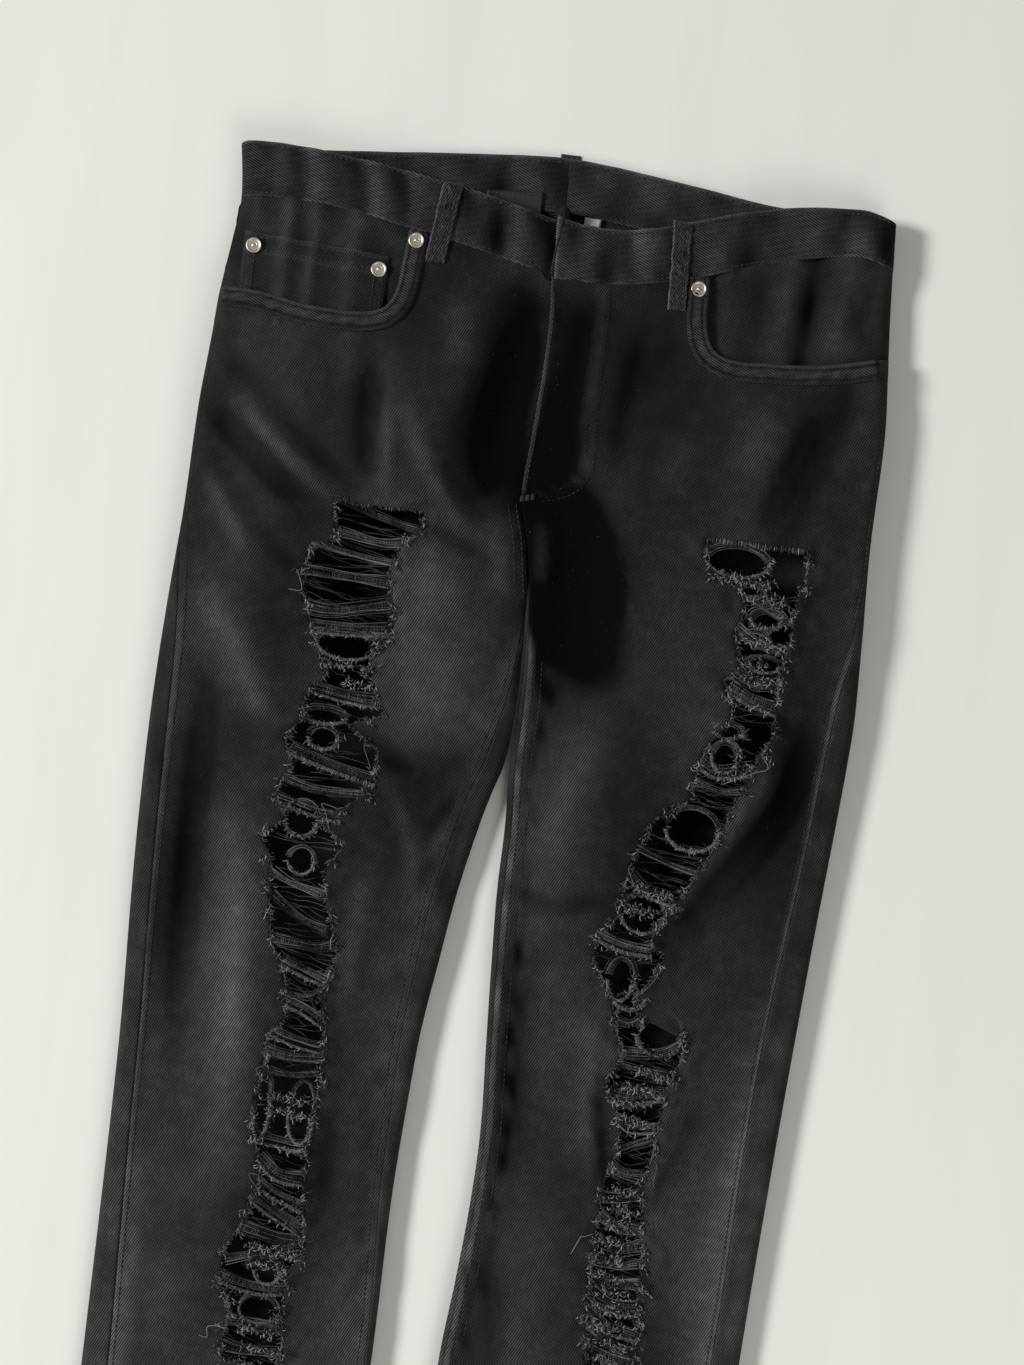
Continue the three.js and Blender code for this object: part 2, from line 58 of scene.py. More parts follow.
MM = 0.001
LEFT = -1
RIGHT = 1
SIDES = ((LEFT, "left"), (RIGHT, "right"))
WAIST_Y = 500
HEM = WAIST_Y - 1000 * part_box("front_left")[0].y
CROTCH = 250
TACK = 186
SEAM_GAP = 0.3
LIFT = 1.8
LIFT_END = 290
BAND_HEIGHT = 36
BAND_PROUD = 0.8
FLY_UNDERLAP = 5
FLY_STEP = 2.3
FACING_OUT = -3.2
COIN_OUT = -1.7
LOOP_LENGTH = 54
FLOOR_Z = -0.4


# ---------- smooth curves ----------
def through(*stations):
    """The smooth curve through (at, value) stations, held level past its ends."""
    at, value = np.array(stations, float).T
    slope = np.gradient(value, at) if len(at) < 3 else np.empty_like(value)
    if len(at) > 2:
        slope[1:-1] = (value[2:] - value[:-2]) / (at[2:] - at[:-2])
        slope[0] = (value[1] - value[0]) / (at[1] - at[0])
        slope[-1] = (value[-1] - value[-2]) / (at[-1] - at[-2])

    def curve(v):
        v = np.clip(np.asarray(v, float), at[0], at[-1])
        i = np.clip(np.searchsorted(at, v, side="right") - 1, 0, len(at) - 2)
        w = at[i + 1] - at[i]
        t = (v - at[i]) / w
        t2 = t * t
        t3 = t2 * t
        level = value[i] * (2 * t3 - 3 * t2 + 1) + value[i + 1] * (3 * t2 - 2 * t3)
        return level + w * (slope[i] * (t3 - 2 * t2 + t) + slope[i + 1] * (t3 - t2))

    return curve


def step(v, a, b):
    """0 below a, 1 above b, smooth between."""
    t = np.clip((np.asarray(v, float) - a) / (b - a), 0, 1)
    return t * t * (3 - 2 * t)


def mix(a, b, t):
    return a + (b - a) * t


def bell(v, width):
    return np.exp(-((np.asarray(v, float) / width) ** 2))


def swell(seed, length, stretch=1.0, count=10):
    """A smooth random height over (x, d), about -1 to 1, with swells `length` mm across."""
    rng = np.random.default_rng(seed)
    turn = rng.uniform(0, 2 * math.pi, count)
    pace = 2 * math.pi / (length * rng.uniform(0.7, 1.7, count))
    start = rng.uniform(0, 2 * math.pi, count)

    def height(x, d):
        total = 0
        for a, k, p in zip(turn, pace, start):
            total = total + np.sin(k * (x * math.cos(a) + d * math.sin(a) / stretch) + p)
        return total / math.sqrt(count)

    return height


def path_distance(x, d, path):
    """Distance from each place to a path of (x, d) points, and the share along it, 0 to 1."""
    path = np.array(path, float)
    best = np.full(np.shape(x), 1e9)
    share = np.zeros(np.shape(x))
    spans = np.hypot(*np.diff(path, axis=0).T)
    run = np.concatenate([[0], np.cumsum(spans)]) / spans.sum()
    for i in range(len(path) - 1):
        (x0, d0), (x1, d1) = path[i], path[i + 1]
        t = ((x - x0) * (x1 - x0) + (d - d0) * (d1 - d0)) / max(spans[i] ** 2, 1e-9)
        t = np.clip(t, 0, 1)
        away = np.hypot(x - x0 - t * (x1 - x0), d - d0 - t * (d1 - d0))
        nearer = away < best
        best = np.where(nearer, away, best)
        share = np.where(nearer, mix(run[i], run[i + 1], t), share)
    return best, share


@functools.lru_cache(maxsize=None)
def smooth_path(points, spacing=1.0):
    """The rounded line through a few points, as places about `spacing` apart."""
    points = np.array(points, float)
    if len(points) > 2:
        knots = np.arange(len(points))
        fine = np.linspace(0, len(points) - 1, 24 * len(points))
        columns = [through(*zip(knots, c))(fine) for c in points.T]
        points = np.stack(columns, -1)
    run = np.concatenate([[0], np.cumsum(np.linalg.norm(np.diff(points, axis=0), axis=1))])
    count = max(int(round(run[-1] / spacing)), 1) + 1
    at = np.linspace(0, run[-1], count)
    return np.stack([np.interp(at, run, c) for c in points.T], -1)


# ---------- the garment's outline from above ----------
outer_edge = {
    LEFT: through(
        (-24, -215), (0, -211.5), (15, -210.5), (40, -213), (75, -217), (105, -218.5), (150, -221.5),
        (220, -223), (290, -227), (360, -229), (450, -228), (565, -223.7), (700, -222.5), (1040, -222),
    ),
    RIGHT: through(
        (-28, 216), (0, 217.5), (40, 220), (75, 222.7), (120, 225.7), (190, 225), (257, 227.5),
        (303, 229), (350, 227), (440, 221), (510, 216.7), (600, 211.8), (727, 206), (1040, 196),
    ),
}
centre_front = through(
    (0, -3.5), (43, -4.4), (60, -1.6), (100, -1.2), (150, -3.6), (186, -5.2), (213, 1.5), (250, 7.5),
)
inner_edge = {
    LEFT: through(
        (250, 7.5), (277, 8.6), (320, 9.2), (359, 6), (380, 0), (400, -5), (447, -14.4), (494, -21),
        (540, -27), (587, -30), (650, -32.7), (756, -33), (1040, -40),
    ),
    RIGHT: through(
        (250, 7.5), (277, 8.6), (320, 9.2), (359, 7.6), (398, 9.6), (444, 9.7), (490, 11.8), (540, 14.6),
        (600, 18), (650, 17), (700, 13.6), (751, 9.2), (850, 7), (1040, 10),
    ),
}
centre_back = through((-41, 0), (100, 0.5), (250, 7.5))
side_seam_inset = {
    LEFT: through((75, 0), (200, 2), (280, 14), (340, 18), (600, 18), (700, 20), (780, 22), (1040, 22)),
    RIGHT: through((75, 0), (190, 2), (250, 10), (300, 20), (400, 22), (540, 26), (700, 23), (1040, 23)),
}
inseam_inset = {
    LEFT: through((250, 0), (300, 8), (360, 17), (450, 19), (540, 16), (640, 12), (740, 8), (1040, 8)),
    RIGHT: through((250, 0), (300, 6), (400, 8), (560, 7), (1040, 7)),
}

# ---------- the waist, from above ----------
band_top_front = {
    LEFT: through((-215, -20.7), (-205, -22.9), (-178, -23.2), (-114, -16.7), (-56, -7.4), (-4, 3.4)),
    RIGHT: through((-4, 1), (18, 5.8), (50, 5), (85, -4.4), (130, -17.8), (195, -26), (218, -21.4)),
}
band_bottom_front = {
    LEFT: through(
        (-215, 14.2), (-181, 12.4), (-144, 14.5), (-99, 22), (-65, 27.8), (-22, 36.2), (-11, 38.5),
        (-6, 44.2), (2, 45.2),
    ),
    RIGHT: through(
        (-4, 43.2), (29, 43), (55, 40), (88, 32.5), (122, 21.1), (157, 11.6), (195, 5), (218, 10),
    ),
}
band_top_back = through(
    (-215, -20.7), (-178, -24.2), (-116, -30.2), (-73, -34.7), (-7, -40.3), (24, -38.8), (86, -32),
    (136, -25.5), (171, -24.6), (216, -21.4),
)


def band_bottom_back(x):
    shrink = np.where(x > 0, 5, 1)
    return band_top_back(x) + BAND_HEIGHT - shrink * step(np.abs(x), 120, 215)


def yoke_seam(x):
    return 62 - 12 * np.minimum(1, np.abs(x) / 215)


# ---------- heights ----------
crown = through((-30, 20), (40, 21), (110, 27), (200, 31), (300, 28), (400, 22), (600, 17), (1040, 13))
outer_roll = through((-30, 8.5), (60, 9.5), (120, 10.5), (260, 10), (400, 8), (700, 6.5), (1040, 5.5))
centre_top = through((-30, 18), (40, 18.5), (100, 19), (170, 17), (200, 13), (230, 6), (250, 3))


def inner_roll(d):
    return 3 * step(d, CROTCH - 20, CROTCH) + 3.5 * step(d, CROTCH, CROTCH + 60) - step(d, 700, HEM)


def lift(d):
    return LIFT * (1 - step(d, LIFT_END - 50, LIFT_END))


def middle_gap(d):
    return SEAM_GAP * (0.6 + 2 * step(d, 195, 245))


def middle_top(side, d):
    underlap = FLY_UNDERLAP * (1 - step(d, TACK - 24, TACK - 8)) if side == LEFT else 0
    rise = centre_front(d) + underlap
    return np.where(d >= CROTCH, inner_edge[side](d), rise) + side * middle_gap(d)


def middle_bottom(side, d):
    return np.where(d >= CROTCH, inner_edge[side](d), centre_back(d)) + side * middle_gap(d)


def quarter(radius):
    return math.pi * radius / 2


def ring_length(side, d, middle):
    width = np.abs(middle(side, d) - outer_edge[side](d))
    turns = outer_roll(d) + inner_roll(d)
    return width - turns + quarter(turns)


# The large soft folds of the front, as on the solid: (x0, d0, x1, d1, half width, height).
FOLDS = (
    (-196, 128, -120, 195, 13, -3.4),
    (-204, 186, -148, 250, 12, -2.4),
    (-96, 118, -88, 186, 14, 2.2),
    (-20, 64, -44, 178, 24, -4.6),
    (34, 196, 58, 290, 24, -4.2),
    (199, 96, 166, 196, 15, -3),
    (80, 80, 62, 112, 14, -2),
)
# Smaller creases: (path, half width, height).
CREASES = {
    LEFT: (
        (((-198, 136), (-172, 162), (-142, 187), (-112, 206)), 7.5, 3.9),
        (((-214, 150), (-178, 180), (-142, 210)), 9, -3.2),
        (((-208, 192), (-192, 218), (-172, 248)), 7, 2.8),
        (((-206, 262), (-182, 290), (-160, 324), (-147, 360)), 11, 3.4),
        (((-192, 300), (-192, 380), (-190, 470), (-184, 590)), 9, -3.2),
        (((-166, 395), (-153, 455), (-147, 520), (-146, 620)), 12, 3.0),
        (((-112, 108), (-108, 150), (-103, 192)), 8, -3.0),
        (((-98, 128), (-94, 165), (-91, 198)), 5, 1.8),
        (((-86, 130), (-72, 162), (-52, 193), (-24, 220)), 8, 2.9),
        (((-62, 210), (-36, 222), (-6, 232)), 4.5, -1.8),
        (((-60, 58), (-50, 112)), 12, 1.8),
        (((-14, 68), (-19, 110), (-26, 150), (-26, 186)), 13, -4.2),
        (((-20, 196), (-9, 226), (-6, 258)), 12, 3.6),
        (((-64, 274), (-24, 281)), 7, -1.3),
        (((-100, 336), (-78, 356), (-48, 374)), 7, -2.2),
        (((-72, 376), (-56, 398), (-46, 422), (-44, 455)), 7, 1.8),
        (((-70, 425), (-75, 480), (-77, 535)), 9, 1.7),
        (((-78, 590), (-76, 670)), 8, -1.4),
        (((-128, 86), (-125, 125)), 5, 1.0),
        (((-172, 690), (-166, 770)), 14, 1.3),
        (((-150, 820), (-146, 880)), 14, 1.2),
        (((-96, 850), (-100, 930)), 12, -1.3),
    ),
    RIGHT: (
        (((8, 190), (13, 222), (13, 252)), 9, 3.0),
        (((32, 194), (44, 226), (44, 262), (28, 298)), 19, -5.2),
        (((62, 306), (53, 350), (42, 398), (36, 428)), 15, 2.2),
        (((14, 437), (50, 447), (84, 437)), 6, -1.8),
        (((104, 462), (126, 428), (150, 390), (170, 358), (180, 328)), 8, 4.0),
        (((126, 466), (150, 428), (176, 388), (193, 350), (197, 300)), 11, -3.0),
        (((182, 104), (165, 152), (151, 198)), 7.5, -2.8),
        (((152, 106), (136, 160)), 12, 1.6),
        (((30, 458), (36, 540), (44, 640)), 13, -1.3),
        (((84, 498), (88, 570), (86, 625)), 11, 2.2),
        (((91, 545), (99, 592), (113, 640)), 5, -2.8),
        (((160, 556), (150, 600), (134, 642)), 8, -1.9),
        (((38, 680), (48, 760)), 8, -1.7),
        (((60, 60), (52, 130), (56, 170)), 8, -1.3),
        (((96, 128), (92, 178)), 12, 1.3),
        (((128, 222), (136, 238), (140, 250)), 4, -1.6),
        (((170, 640), (176, 720)), 14, 1.1),
        (((60, 780), (62, 850)), 13, 1.1),
        (((130, 840), (134, 920)), 12, -1.2),
    ),
}
CREASE_DEPTH = 1.5
# Upright folds in the cloth inside each pocket's mouth: (x, half width, height).
POCKET_FOLDS = {
    LEFT: ((-199, 5, 1.8), (-176, 5.5, 3.2), (-158, 4.5, 2.6), (-132, 8, 2.6)),
    RIGHT: ((116, 12, 0.8), (150, 9, 1.6), (165, 6.5, -2.2), (188, 12, 1.4)),
}
# Ripples across the front of the waistband: (x, half width, height).
BAND_RIPPLES = {
    LEFT: ((-200, 9, 0.9), (-158, 8, 1.3), (-121, 8, 1.3), (-96, 6, 0.6), (-52, 9, 0.6)),
    RIGHT: (
        (16, 6, 0.6), (36, 5, 0.7), (54, 6, 1.1), (104, 10, 0.9), (128, 12, -0.9), (160, 16, 0.9),
        (196, 10, 0.9),
    ),
}
# The curve of each front pocket's mouth, from the waist round to the side.
MOUTH = {
    LEFT: (
        (-97, -8), (-97.5, 22), (-98.5, 35), (-99.5, 49), (-101, 63), (-105, 73), (-113, 79), (-130, 81.6),
        (-158, 80.4), (-188, 75), (-216, 74), (-232, 74),
    ),
    RIGHT: (
        (98.5, -8), (98.5, 30), (99, 43), (99.5, 57), (102.5, 70.5), (108.5, 79), (121, 83), (142, 82.4),
        (165, 80.7), (190, 76), (222, 68), (240, 67),
    ),
}
# Distances of the mouth's two rows of stitches from its edge, and the width of its folded hem.
HEM_ROWS = (2.6, 9.4)
HEM_WIDTH = 12
# Pale bars across the right leg, left by the folded seam beneath.
SEAM_MARKS = (
    ((166, 608), (204, 612)), ((157, 638), (208, 645)), ((176, 688), (206, 694)), ((172, 724), (202, 733)),
)
# The curved topstitching of the fly.
J_STITCH = ((30, 46), (31, 81), (31.4, 111), (32.4, 141), (33.5, 160), (29, 171), (18, 178), (2, 182.5))
# Edges of the ladder of rips down each leg, from the outer side and the inner side: (depth, x).
LADDER = {
    LEFT: (
        ((203, -124), (229, -119), (234, -134), (252, -140), (268, -136), (282, -130), (299, -124),
         (315, -115), (330, -128), (346, -129), (359, -138), (377, -131), (397, -141), (411, -131),
         (423, -146), (440, -137), (460, -136), (478, -133), (493, -131), (504, -122), (525, -116),
         (541, -116), (553, -126), (574, -126), (592, -129), (614, -127), (645, -120), (670, -125),
         (691, -136), (712, -139), (730, -130), (762, -132), (786, -120)),
        ((207, -66), (218, -63), (224, -76), (246, -84), (258, -80), (281, -77), (297, -88), (317, -86),
         (337, -74), (346, -98), (359, -77), (377, -76), (395, -88), (410, -110), (423, -91),
         (442, -102), (460, -99), (479, -92), (493, -86), (505, -90), (524, -94), (545, -89),
         (574, -88), (600, -91), (625, -91), (645, -91), (669, -88), (691, -86), (708, -96),
         (734, -94), (761, -92), (786, -104)),
    ),
    RIGHT: (
        ((199, 184), (221, 184), (230, 179), (243, 180), (256, 179), (268, 177), (278, 174), (288, 176),
         (303, 174), (319, 176), (337, 167), (352, 161), (367, 156), (384, 150), (401, 144), (413, 138),
         (434, 127), (446, 119), (462, 113), (470, 124), (480, 122), (494, 111), (503, 106), (513, 116),
         (524, 146), (535, 143), (555, 136), (573, 134), (598, 132), (622, 128), (645, 131), (672, 134),
         (704, 136), (740, 136), (786, 122)),
        ((199, 117), (212, 116), (222, 124), (229, 142), (243, 147), (256, 141), (268, 146), (278, 149),
         (288, 139), (303, 146), (317, 147), (325, 136), (337, 132), (352, 129), (367, 128), (384, 104),
         (401, 99), (414, 94), (435, 91), (446, 92), (462, 78), (478, 77), (493, 88), (503, 93),
         (524, 99), (536, 105), (555, 95), (573, 105), (598, 110), (619, 103), (645, 102), (672, 100),
         (704, 102), (740, 105), (786, 112)),
    ),
}
LADDER_TOP = {LEFT: 204.0, RIGHT: 199.0}
LADDER_END = 786.0


def ladder_edges(side, d):
    """x of the ladder's outer and inner edge at depth d."""
    outer, inner = (np.array(edge, float) for edge in LADDER[side])
    return np.interp(d, outer[:, 0], outer[:, 1]), np.interp(d, inner[:, 0], inner[:, 1])


def fold_height(x, d):
    total = 0
    for x0, d0, x1, d1, width, height in FOLDS:
        away, _ = path_distance(x, d, ((x0, d0), (x1, d1)))
        total = total + height * bell(away, width)
    return total


def form_height(side, x, d):
    """Height of the top cloth's plain form, the same as the solid's."""
    e = np.maximum(np.abs(x - outer_edge[side](d)), 0)
    f = np.maximum(np.abs(middle_top(side, d) - x), 0)
    full = crown(d)
    outer = outer_roll(d)
    inner = inner_roll(d)

    def rise(away, radius):
        inside = np.maximum(radius**2 - (radius - np.minimum(away, radius)) ** 2, 0)
        return np.sqrt(inside)

    low = np.where(d >= CROTCH, inner, centre_top(d))
    from_outer = (outer + rise(e, outer) + (full - 2 * outer) * step(e / outer, 0.6, 75 / outer)) / full
    inner_start = 0.6 * inner
    inward = np.clip((f - inner_start) / (70 - inner_start), 0, 1)
    from_inner = (low + rise(f, inner) + (full - low - inner) * inward**2 * (3 - 2 * inward)) / full
    soft = step(e, 2, 26) * step(f, 0, 22)
    under = 0
    if side == LEFT:
        under = FLY_STEP * (1 - step(d, TACK - 4, TACK + 8)) * (1 - step(f, 8, 26))
    return full * from_outer * from_inner + fold_height(x, d) * soft - under + lift(d)


broad_swell = {LEFT: swell(3, 90, 2.2), RIGHT: swell(4, 90, 2.2)}
small_swell = {LEFT: swell(13, 27, 1.8), RIGHT: swell(14, 27, 1.8)}
pucker_swell = {LEFT: swell(23, 13, 1.0), RIGHT: swell(24, 13, 1.0)}


def seam_x(side, d):
    """x of the side seam on top of the leg."""
    return outer_edge[side](d) - side * (np.maximum(side_seam_inset[side](d) - 3.5, 0.5))


def inseam_x(side, d):
    return inner_edge[side](d) + side * np.maximum(inseam_inset[side](d) - 1.5, 0.5)


def crease_height(side, x, d):
    total = 0 * x
    for path, width, height in CREASES[side]:
        away, share = path_distance(x, d, smooth_path(path, 8))
        taper = step(share, -0.05, 0.3) * (1 - step(share, 0.7, 1.05))
        total = total + CREASE_DEPTH * height * bell(away, width) * np.maximum(taper, 0.15)
    return total


def upright_folds(folds, x, d, lean=0.0):
    """Height of a row of folds that run down the cloth."""
    return sum(height * bell(x - at - lean * d, width) for at, width, height in folds)


def relief(side, x, d):
    """What the sewn and worn cloth adds to the plain form: creases, puckers, hems and seams."""
    total = 0.6 * broad_swell[side](x, d) + 0.3 * small_swell[side](x, d) + crease_height(side, x, d)
    # cloth beside the rips lifts and buckles
    outer, inner = ladder_edges(side, d)
    beside = np.minimum(np.abs(x - outer), np.abs(x - inner))
    inside = step(d, LADDER_TOP[side] - 12, LADDER_TOP[side]) * (1 - step(d, LADDER_END, LADDER_END + 12))
    total = total + inside * bell(beside, 14) * (1.5 + 1.4 * pucker_swell[side](x * 0.7, d * 0.8))
    # puckers along the side seam and the inseam
    to_seam = np.abs(x - seam_x(side, d))
    to_inseam = np.where(d > CROTCH + 20, np.abs(x - inseam_x(side, d)), 99)
    patchy = 0.5 + 0.5 * small_swell[side](x * 0.4, d)
    total = total + 0.3 * bell(to_seam, 8) * pucker_swell[side](x * 0.9, d * 0.5) * patchy
    total = total + 0.35 * bell(to_inseam, 12) * pucker_swell[side](x * 0.9, d * 0.5) * patchy
    # folded cloth beside the seams stands proud of the other side
    total = total + 0.55 * bell(to_seam - 2.4, 3) + 0.6 * bell(to_inseam - 2.6, 3)
    # the hem of the pocket mouth
    to_mouth, _ = path_distance(x, d, smooth_path(MOUTH[side], 3))
    hem = 0.6 * (1 - step(to_mouth, 10.5, 13))
    ripples = 0.25 * bell(to_mouth - 8, 7) * pucker_swell[side](x, d)
    total = total + (hem + ripples) * step(-d, -140, -110)
    if side == RIGHT:
        to_j, _ = path_distance(x, d, smooth_path(J_STITCH, 3))
        facing = (x < 34) & (d < 184)
        total = total + np.where(facing, 0.7 * step(to_j, 0.5, 4), 0) - 0.35 * bell(to_j, 1.2)
        total = total + 0.35 * bell(to_j, 8) * pucker_swell[side](x, d)
    # the rise seam between the tack and the crotch
    to_rise = np.abs(x - centre_front(d))
    below = step(d, TACK - 4, TACK + 6) * (1 - step(d, CROTCH, CROTCH + 15))
    total = total + below * (0.5 * bell(to_rise - 3, 3) + 0.4 * bell(to_rise, 9) * pucker_swell[side](x, d))
    edge = np.abs(x - outer_edge[side](d))
    return total * step(edge, 0.5, 9)


def top_height(side, x, d):
    return form_height(side, x, d) + relief(side, x, d)


def point(x, d, z):
    return np.stack([x + 0 * z, WAIST_Y - d + 0 * z, z], -1)


def lay(side, x, d, out=0.0):
    """Places on the top cloth, moved out from it by `out`."""
    x = np.asarray(x, float)
    d = np.asarray(d, float)
    near = 0.6
    z = top_height(side, x, d)
    slope_x = (top_height(side, x + near, d) - z) / near
    slope_d = (top_height(side, x, d + near) - z) / near
    normal = np.stack([-slope_x, slope_d, np.ones_like(z)], -1)
    normal /= np.linalg.norm(normal, axis=-1, keepdims=True)
    return point(x, d, z) + normal * np.asarray(out)[..., None]


# ---------- the flattened rings ----------
def ring(side, s, d, heights=top_height):
    """The cloth at distance s along the ring from its outermost point: on top when s is positive, underneath
    when it is negative. Past the inner edge it comes round to the top again."""
    s, d = np.broadcast_arrays(np.asarray(s, float), np.asarray(d, float))
    outer, inner = outer_roll(d), np.maximum(inner_roll(d), 1e-4)
    over = ring_length(side, d, middle_top)
    beneath = ring_length(side, d, middle_bottom)
    round_again = -s > beneath
    a = np.where(round_again, over + beneath + s, np.abs(s))
    on_top = (s >= 0) | round_again
    e = np.where(a < quarter(outer), outer * (1 - np.cos(a / outer)), outer + a - quarter(outer))
    x = outer_edge[side](d) - side * e
    middle = np.where(on_top, middle_top(side, d), middle_bottom(side, d))
    left = np.where(on_top, over, beneath) - a
    turned = middle + side * inner * (1 - np.cos(np.clip(left, 0, None) / inner))
    curled = (inner > 0.01) & (left < quarter(inner))
    x = np.where(curled, turned, x)
    top_z = heights(side, x, d)
    low = np.where(d >= CROTCH, inner, 3 * step(d, CROTCH - 22, CROTCH))
    turn = np.clip(a / outer, 0, math.pi / 2)
    under_z = outer * (1 - np.sin(turn))
    under_z = np.where(curled, low * (1 - np.sin(np.clip(left, 0, None) / inner)), under_z)
    z = np.where(on_top, top_z, under_z + lift(d))
    return point(x, d, z)


# ---------- meshes ----------
def mesh_object(name, points, faces, material, wear_and_shade=None):
    """An object from points in millimetres and arrays of faces, each (count, corners)."""
    mesh = bpy.data.meshes.new(name)
    groups = [np.asarray(f, np.int32) for f in faces if len(f)]
    loops = np.concatenate([g.ravel() for g in groups])
    sizes = np.concatenate([np.full(len(g), g.shape[1], np.int32) for g in groups])
    starts = np.concatenate([[0], np.cumsum(sizes)[:-1]]).astype(np.int32)
    mesh.vertices.add(len(points))
    mesh.vertices.foreach_set("co", (np.asarray(points, np.float32) * MM).ravel())
    mesh.loops.add(len(loops))
    mesh.loops.foreach_set("vertex_index", loops)
    mesh.polygons.add(len(sizes))
    mesh.polygons.foreach_set("loop_start", starts)
    mesh.polygons.foreach_set("loop_total", sizes)
    mesh.polygons.foreach_set("use_smooth", np.full(len(sizes), True))
    mesh.update(calc_edges=True)
    mesh.validate()
    # Each point's level of paleness: higher where the cloth is worn, lower where shade is painted on.
    attribute = mesh.attributes.new("wear_and_shade", "FLOAT", "POINT")
    level = np.zeros(len(points)) if wear_and_shade is None else np.ravel(wear_and_shade)
    attribute.data.foreach_set("value", level.astype(np.float32))
    mesh.materials.append(material)
    made = bpy.data.objects.new(name, mesh)
    bpy.context.scene.collection.objects.link(made)
    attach(made, "root")
    return made


def point_normals(points, quads):
    a, b, c, e = (points[quads[:, i]] for i in range(4))
    face = np.cross(c - a, e - b)
    total = np.zeros_like(points)
    for i in range(4):
        np.add.at(total, quads[:, i], face)
    return total / np.maximum(np.linalg.norm(total, axis=1, keepdims=True), 1e-9)


def shell(points, quads, thickness):
    """Adds the inner face and the border to a sheet of quads, so that it is a closed wall."""
    count = len(points)
    inner = points - point_normals(points, quads) * thickness
    edges = np.concatenate([quads[:, [i, (i + 1) % 4]] for i in range(4)])
    key = np.sort(edges, axis=1)
    key = key[:, 0] * count + key[:, 1]
    _, first, counts = np.unique(key, return_index=True, return_counts=True)
    border = edges[first[counts == 1]]
    rim = np.stack([border[:, 1], border[:, 0], border[:, 0] + count, border[:, 1] + count], 1)
    return np.concatenate([points, inner]), np.concatenate([quads, quads[:, ::-1] + count, rim])


def sheet_object(name, grid, thickness, material, wear_and_shade=None, keep=None, flip=False):
    """A wall of cloth on a grid of points (rows, columns, 3). keep says which cells are cloth."""
    n, m = grid.shape[:2]
    index = np.arange(n * m).reshape(n, m)
    quads = np.stack([index[:-1, :-1], index[1:, :-1], index[1:, 1:], index[:-1, 1:]], -1).reshape(-1, 4)
    if keep is not None:
        quads = quads[np.ravel(keep)]
    if flip:
        quads = quads[:, ::-1]
    used, quads = np.unique(quads, return_inverse=True)
    quads = quads.reshape(-1, 4)
    points = grid.reshape(-1, 3)[used]
    level = np.zeros(len(used)) if wear_and_shade is None else np.ravel(wear_and_shade)[used]
    points, faces = shell(points, quads, thickness)
    return mesh_object(name, points, [faces], material, np.concatenate([level, level]))


def tubes(paths, radius, sides=4, tip=0.5):
    """Closed tubes along many paths of equal length (count, steps, 3): points and arrays of faces."""
    paths = np.asarray(paths, float)
    count, steps = paths.shape[:2]
    along = np.gradient(paths, axis=1)
    along /= np.maximum(np.linalg.norm(along, axis=-1, keepdims=True), 1e-9)
    across = np.cross(along, np.array([0.13, 0.07, 1.0]))
    across /= np.maximum(np.linalg.norm(across, axis=-1, keepdims=True), 1e-9)
    up = np.cross(across, along)
    size = np.broadcast_to(np.asarray(radius, float).reshape(-1, 1), (count, steps)).copy()
    size[:, 0] *= tip
    size[:, -1] *= tip
    turn = 2 * math.pi * np.arange(sides) / sides
    around = across[:, :, None] * np.cos(turn)[:, None] + up[:, :, None] * np.sin(turn)[:, None]
    points = (paths[:, :, None] + around * size[:, :, None, None]).reshape(-1, 3)
    index = np.arange(count * steps * sides).reshape(count, steps, sides)
    beside = np.roll(index, -1, axis=2)
    quads = np.stack([index[:, :-1], beside[:, :-1], beside[:, 1:], index[:, 1:]], -1).reshape(-1, 4)
    caps = np.concatenate([index[:, 0, ::-1], index[:, -1]])
    return points, [quads, caps]


class Bundle:
    """Tubes of several kinds gathered into one mesh."""

    def __init__(self):
        self.points, self.faces, self.wear_and_shade, self.count = [], {}, [], 0

    def add(self, paths, radius, wear_and_shade=0.0, sides=4, tip=0.5):
        if not len(paths):
            return
        points, faces = tubes(paths, radius, sides, tip)
        for group in faces:
            self.faces.setdefault(group.shape[1], []).append(group + self.count)
        self.points.append(points)
        each = len(points) // len(paths)
        level = np.broadcast_to(np.asarray(wear_and_shade, float).reshape(-1, 1), (len(paths), each))
        self.wear_and_shade.append(level.ravel())
        self.count += len(points)

    def object(self, name, material):
        faces = [np.concatenate(group) for group in self.faces.values()]
        return mesh_object(name, np.concatenate(self.points), faces, material, np.concatenate(self.wear_and_shade))


# ---------- finishes ----------
class Wire:
    """A number that flows through a material. Arithmetic on it adds Math nodes."""

    def __init__(self, finish, socket):
        self.finish = finish
        self.socket = socket

    def maths(self, operation, *values):
        return self.finish.node("ShaderNodeMath", {"operation": operation}, dict(enumerate(values)))

    def __add__(self, other):
        return self.maths("ADD", self, other)

    __radd__ = __add__

    def __sub__(self, other):
        return self.maths("SUBTRACT", self, other)

    def __rsub__(self, other):
        return self.maths("SUBTRACT", other, self)

    def __mul__(self, other):
        return self.maths("MULTIPLY", self, other)

    __rmul__ = __mul__

    def sine(self):
        return self.maths("SINE", self)

    def between(self, low, high):
        """0 where the value is below low, 1 above high, smooth between."""
        settings = {"interpolation_type": "SMOOTHSTEP"}
        return self.finish.node("ShaderNodeMapRange", settings, {"Value": self, 1: low, 2: high})


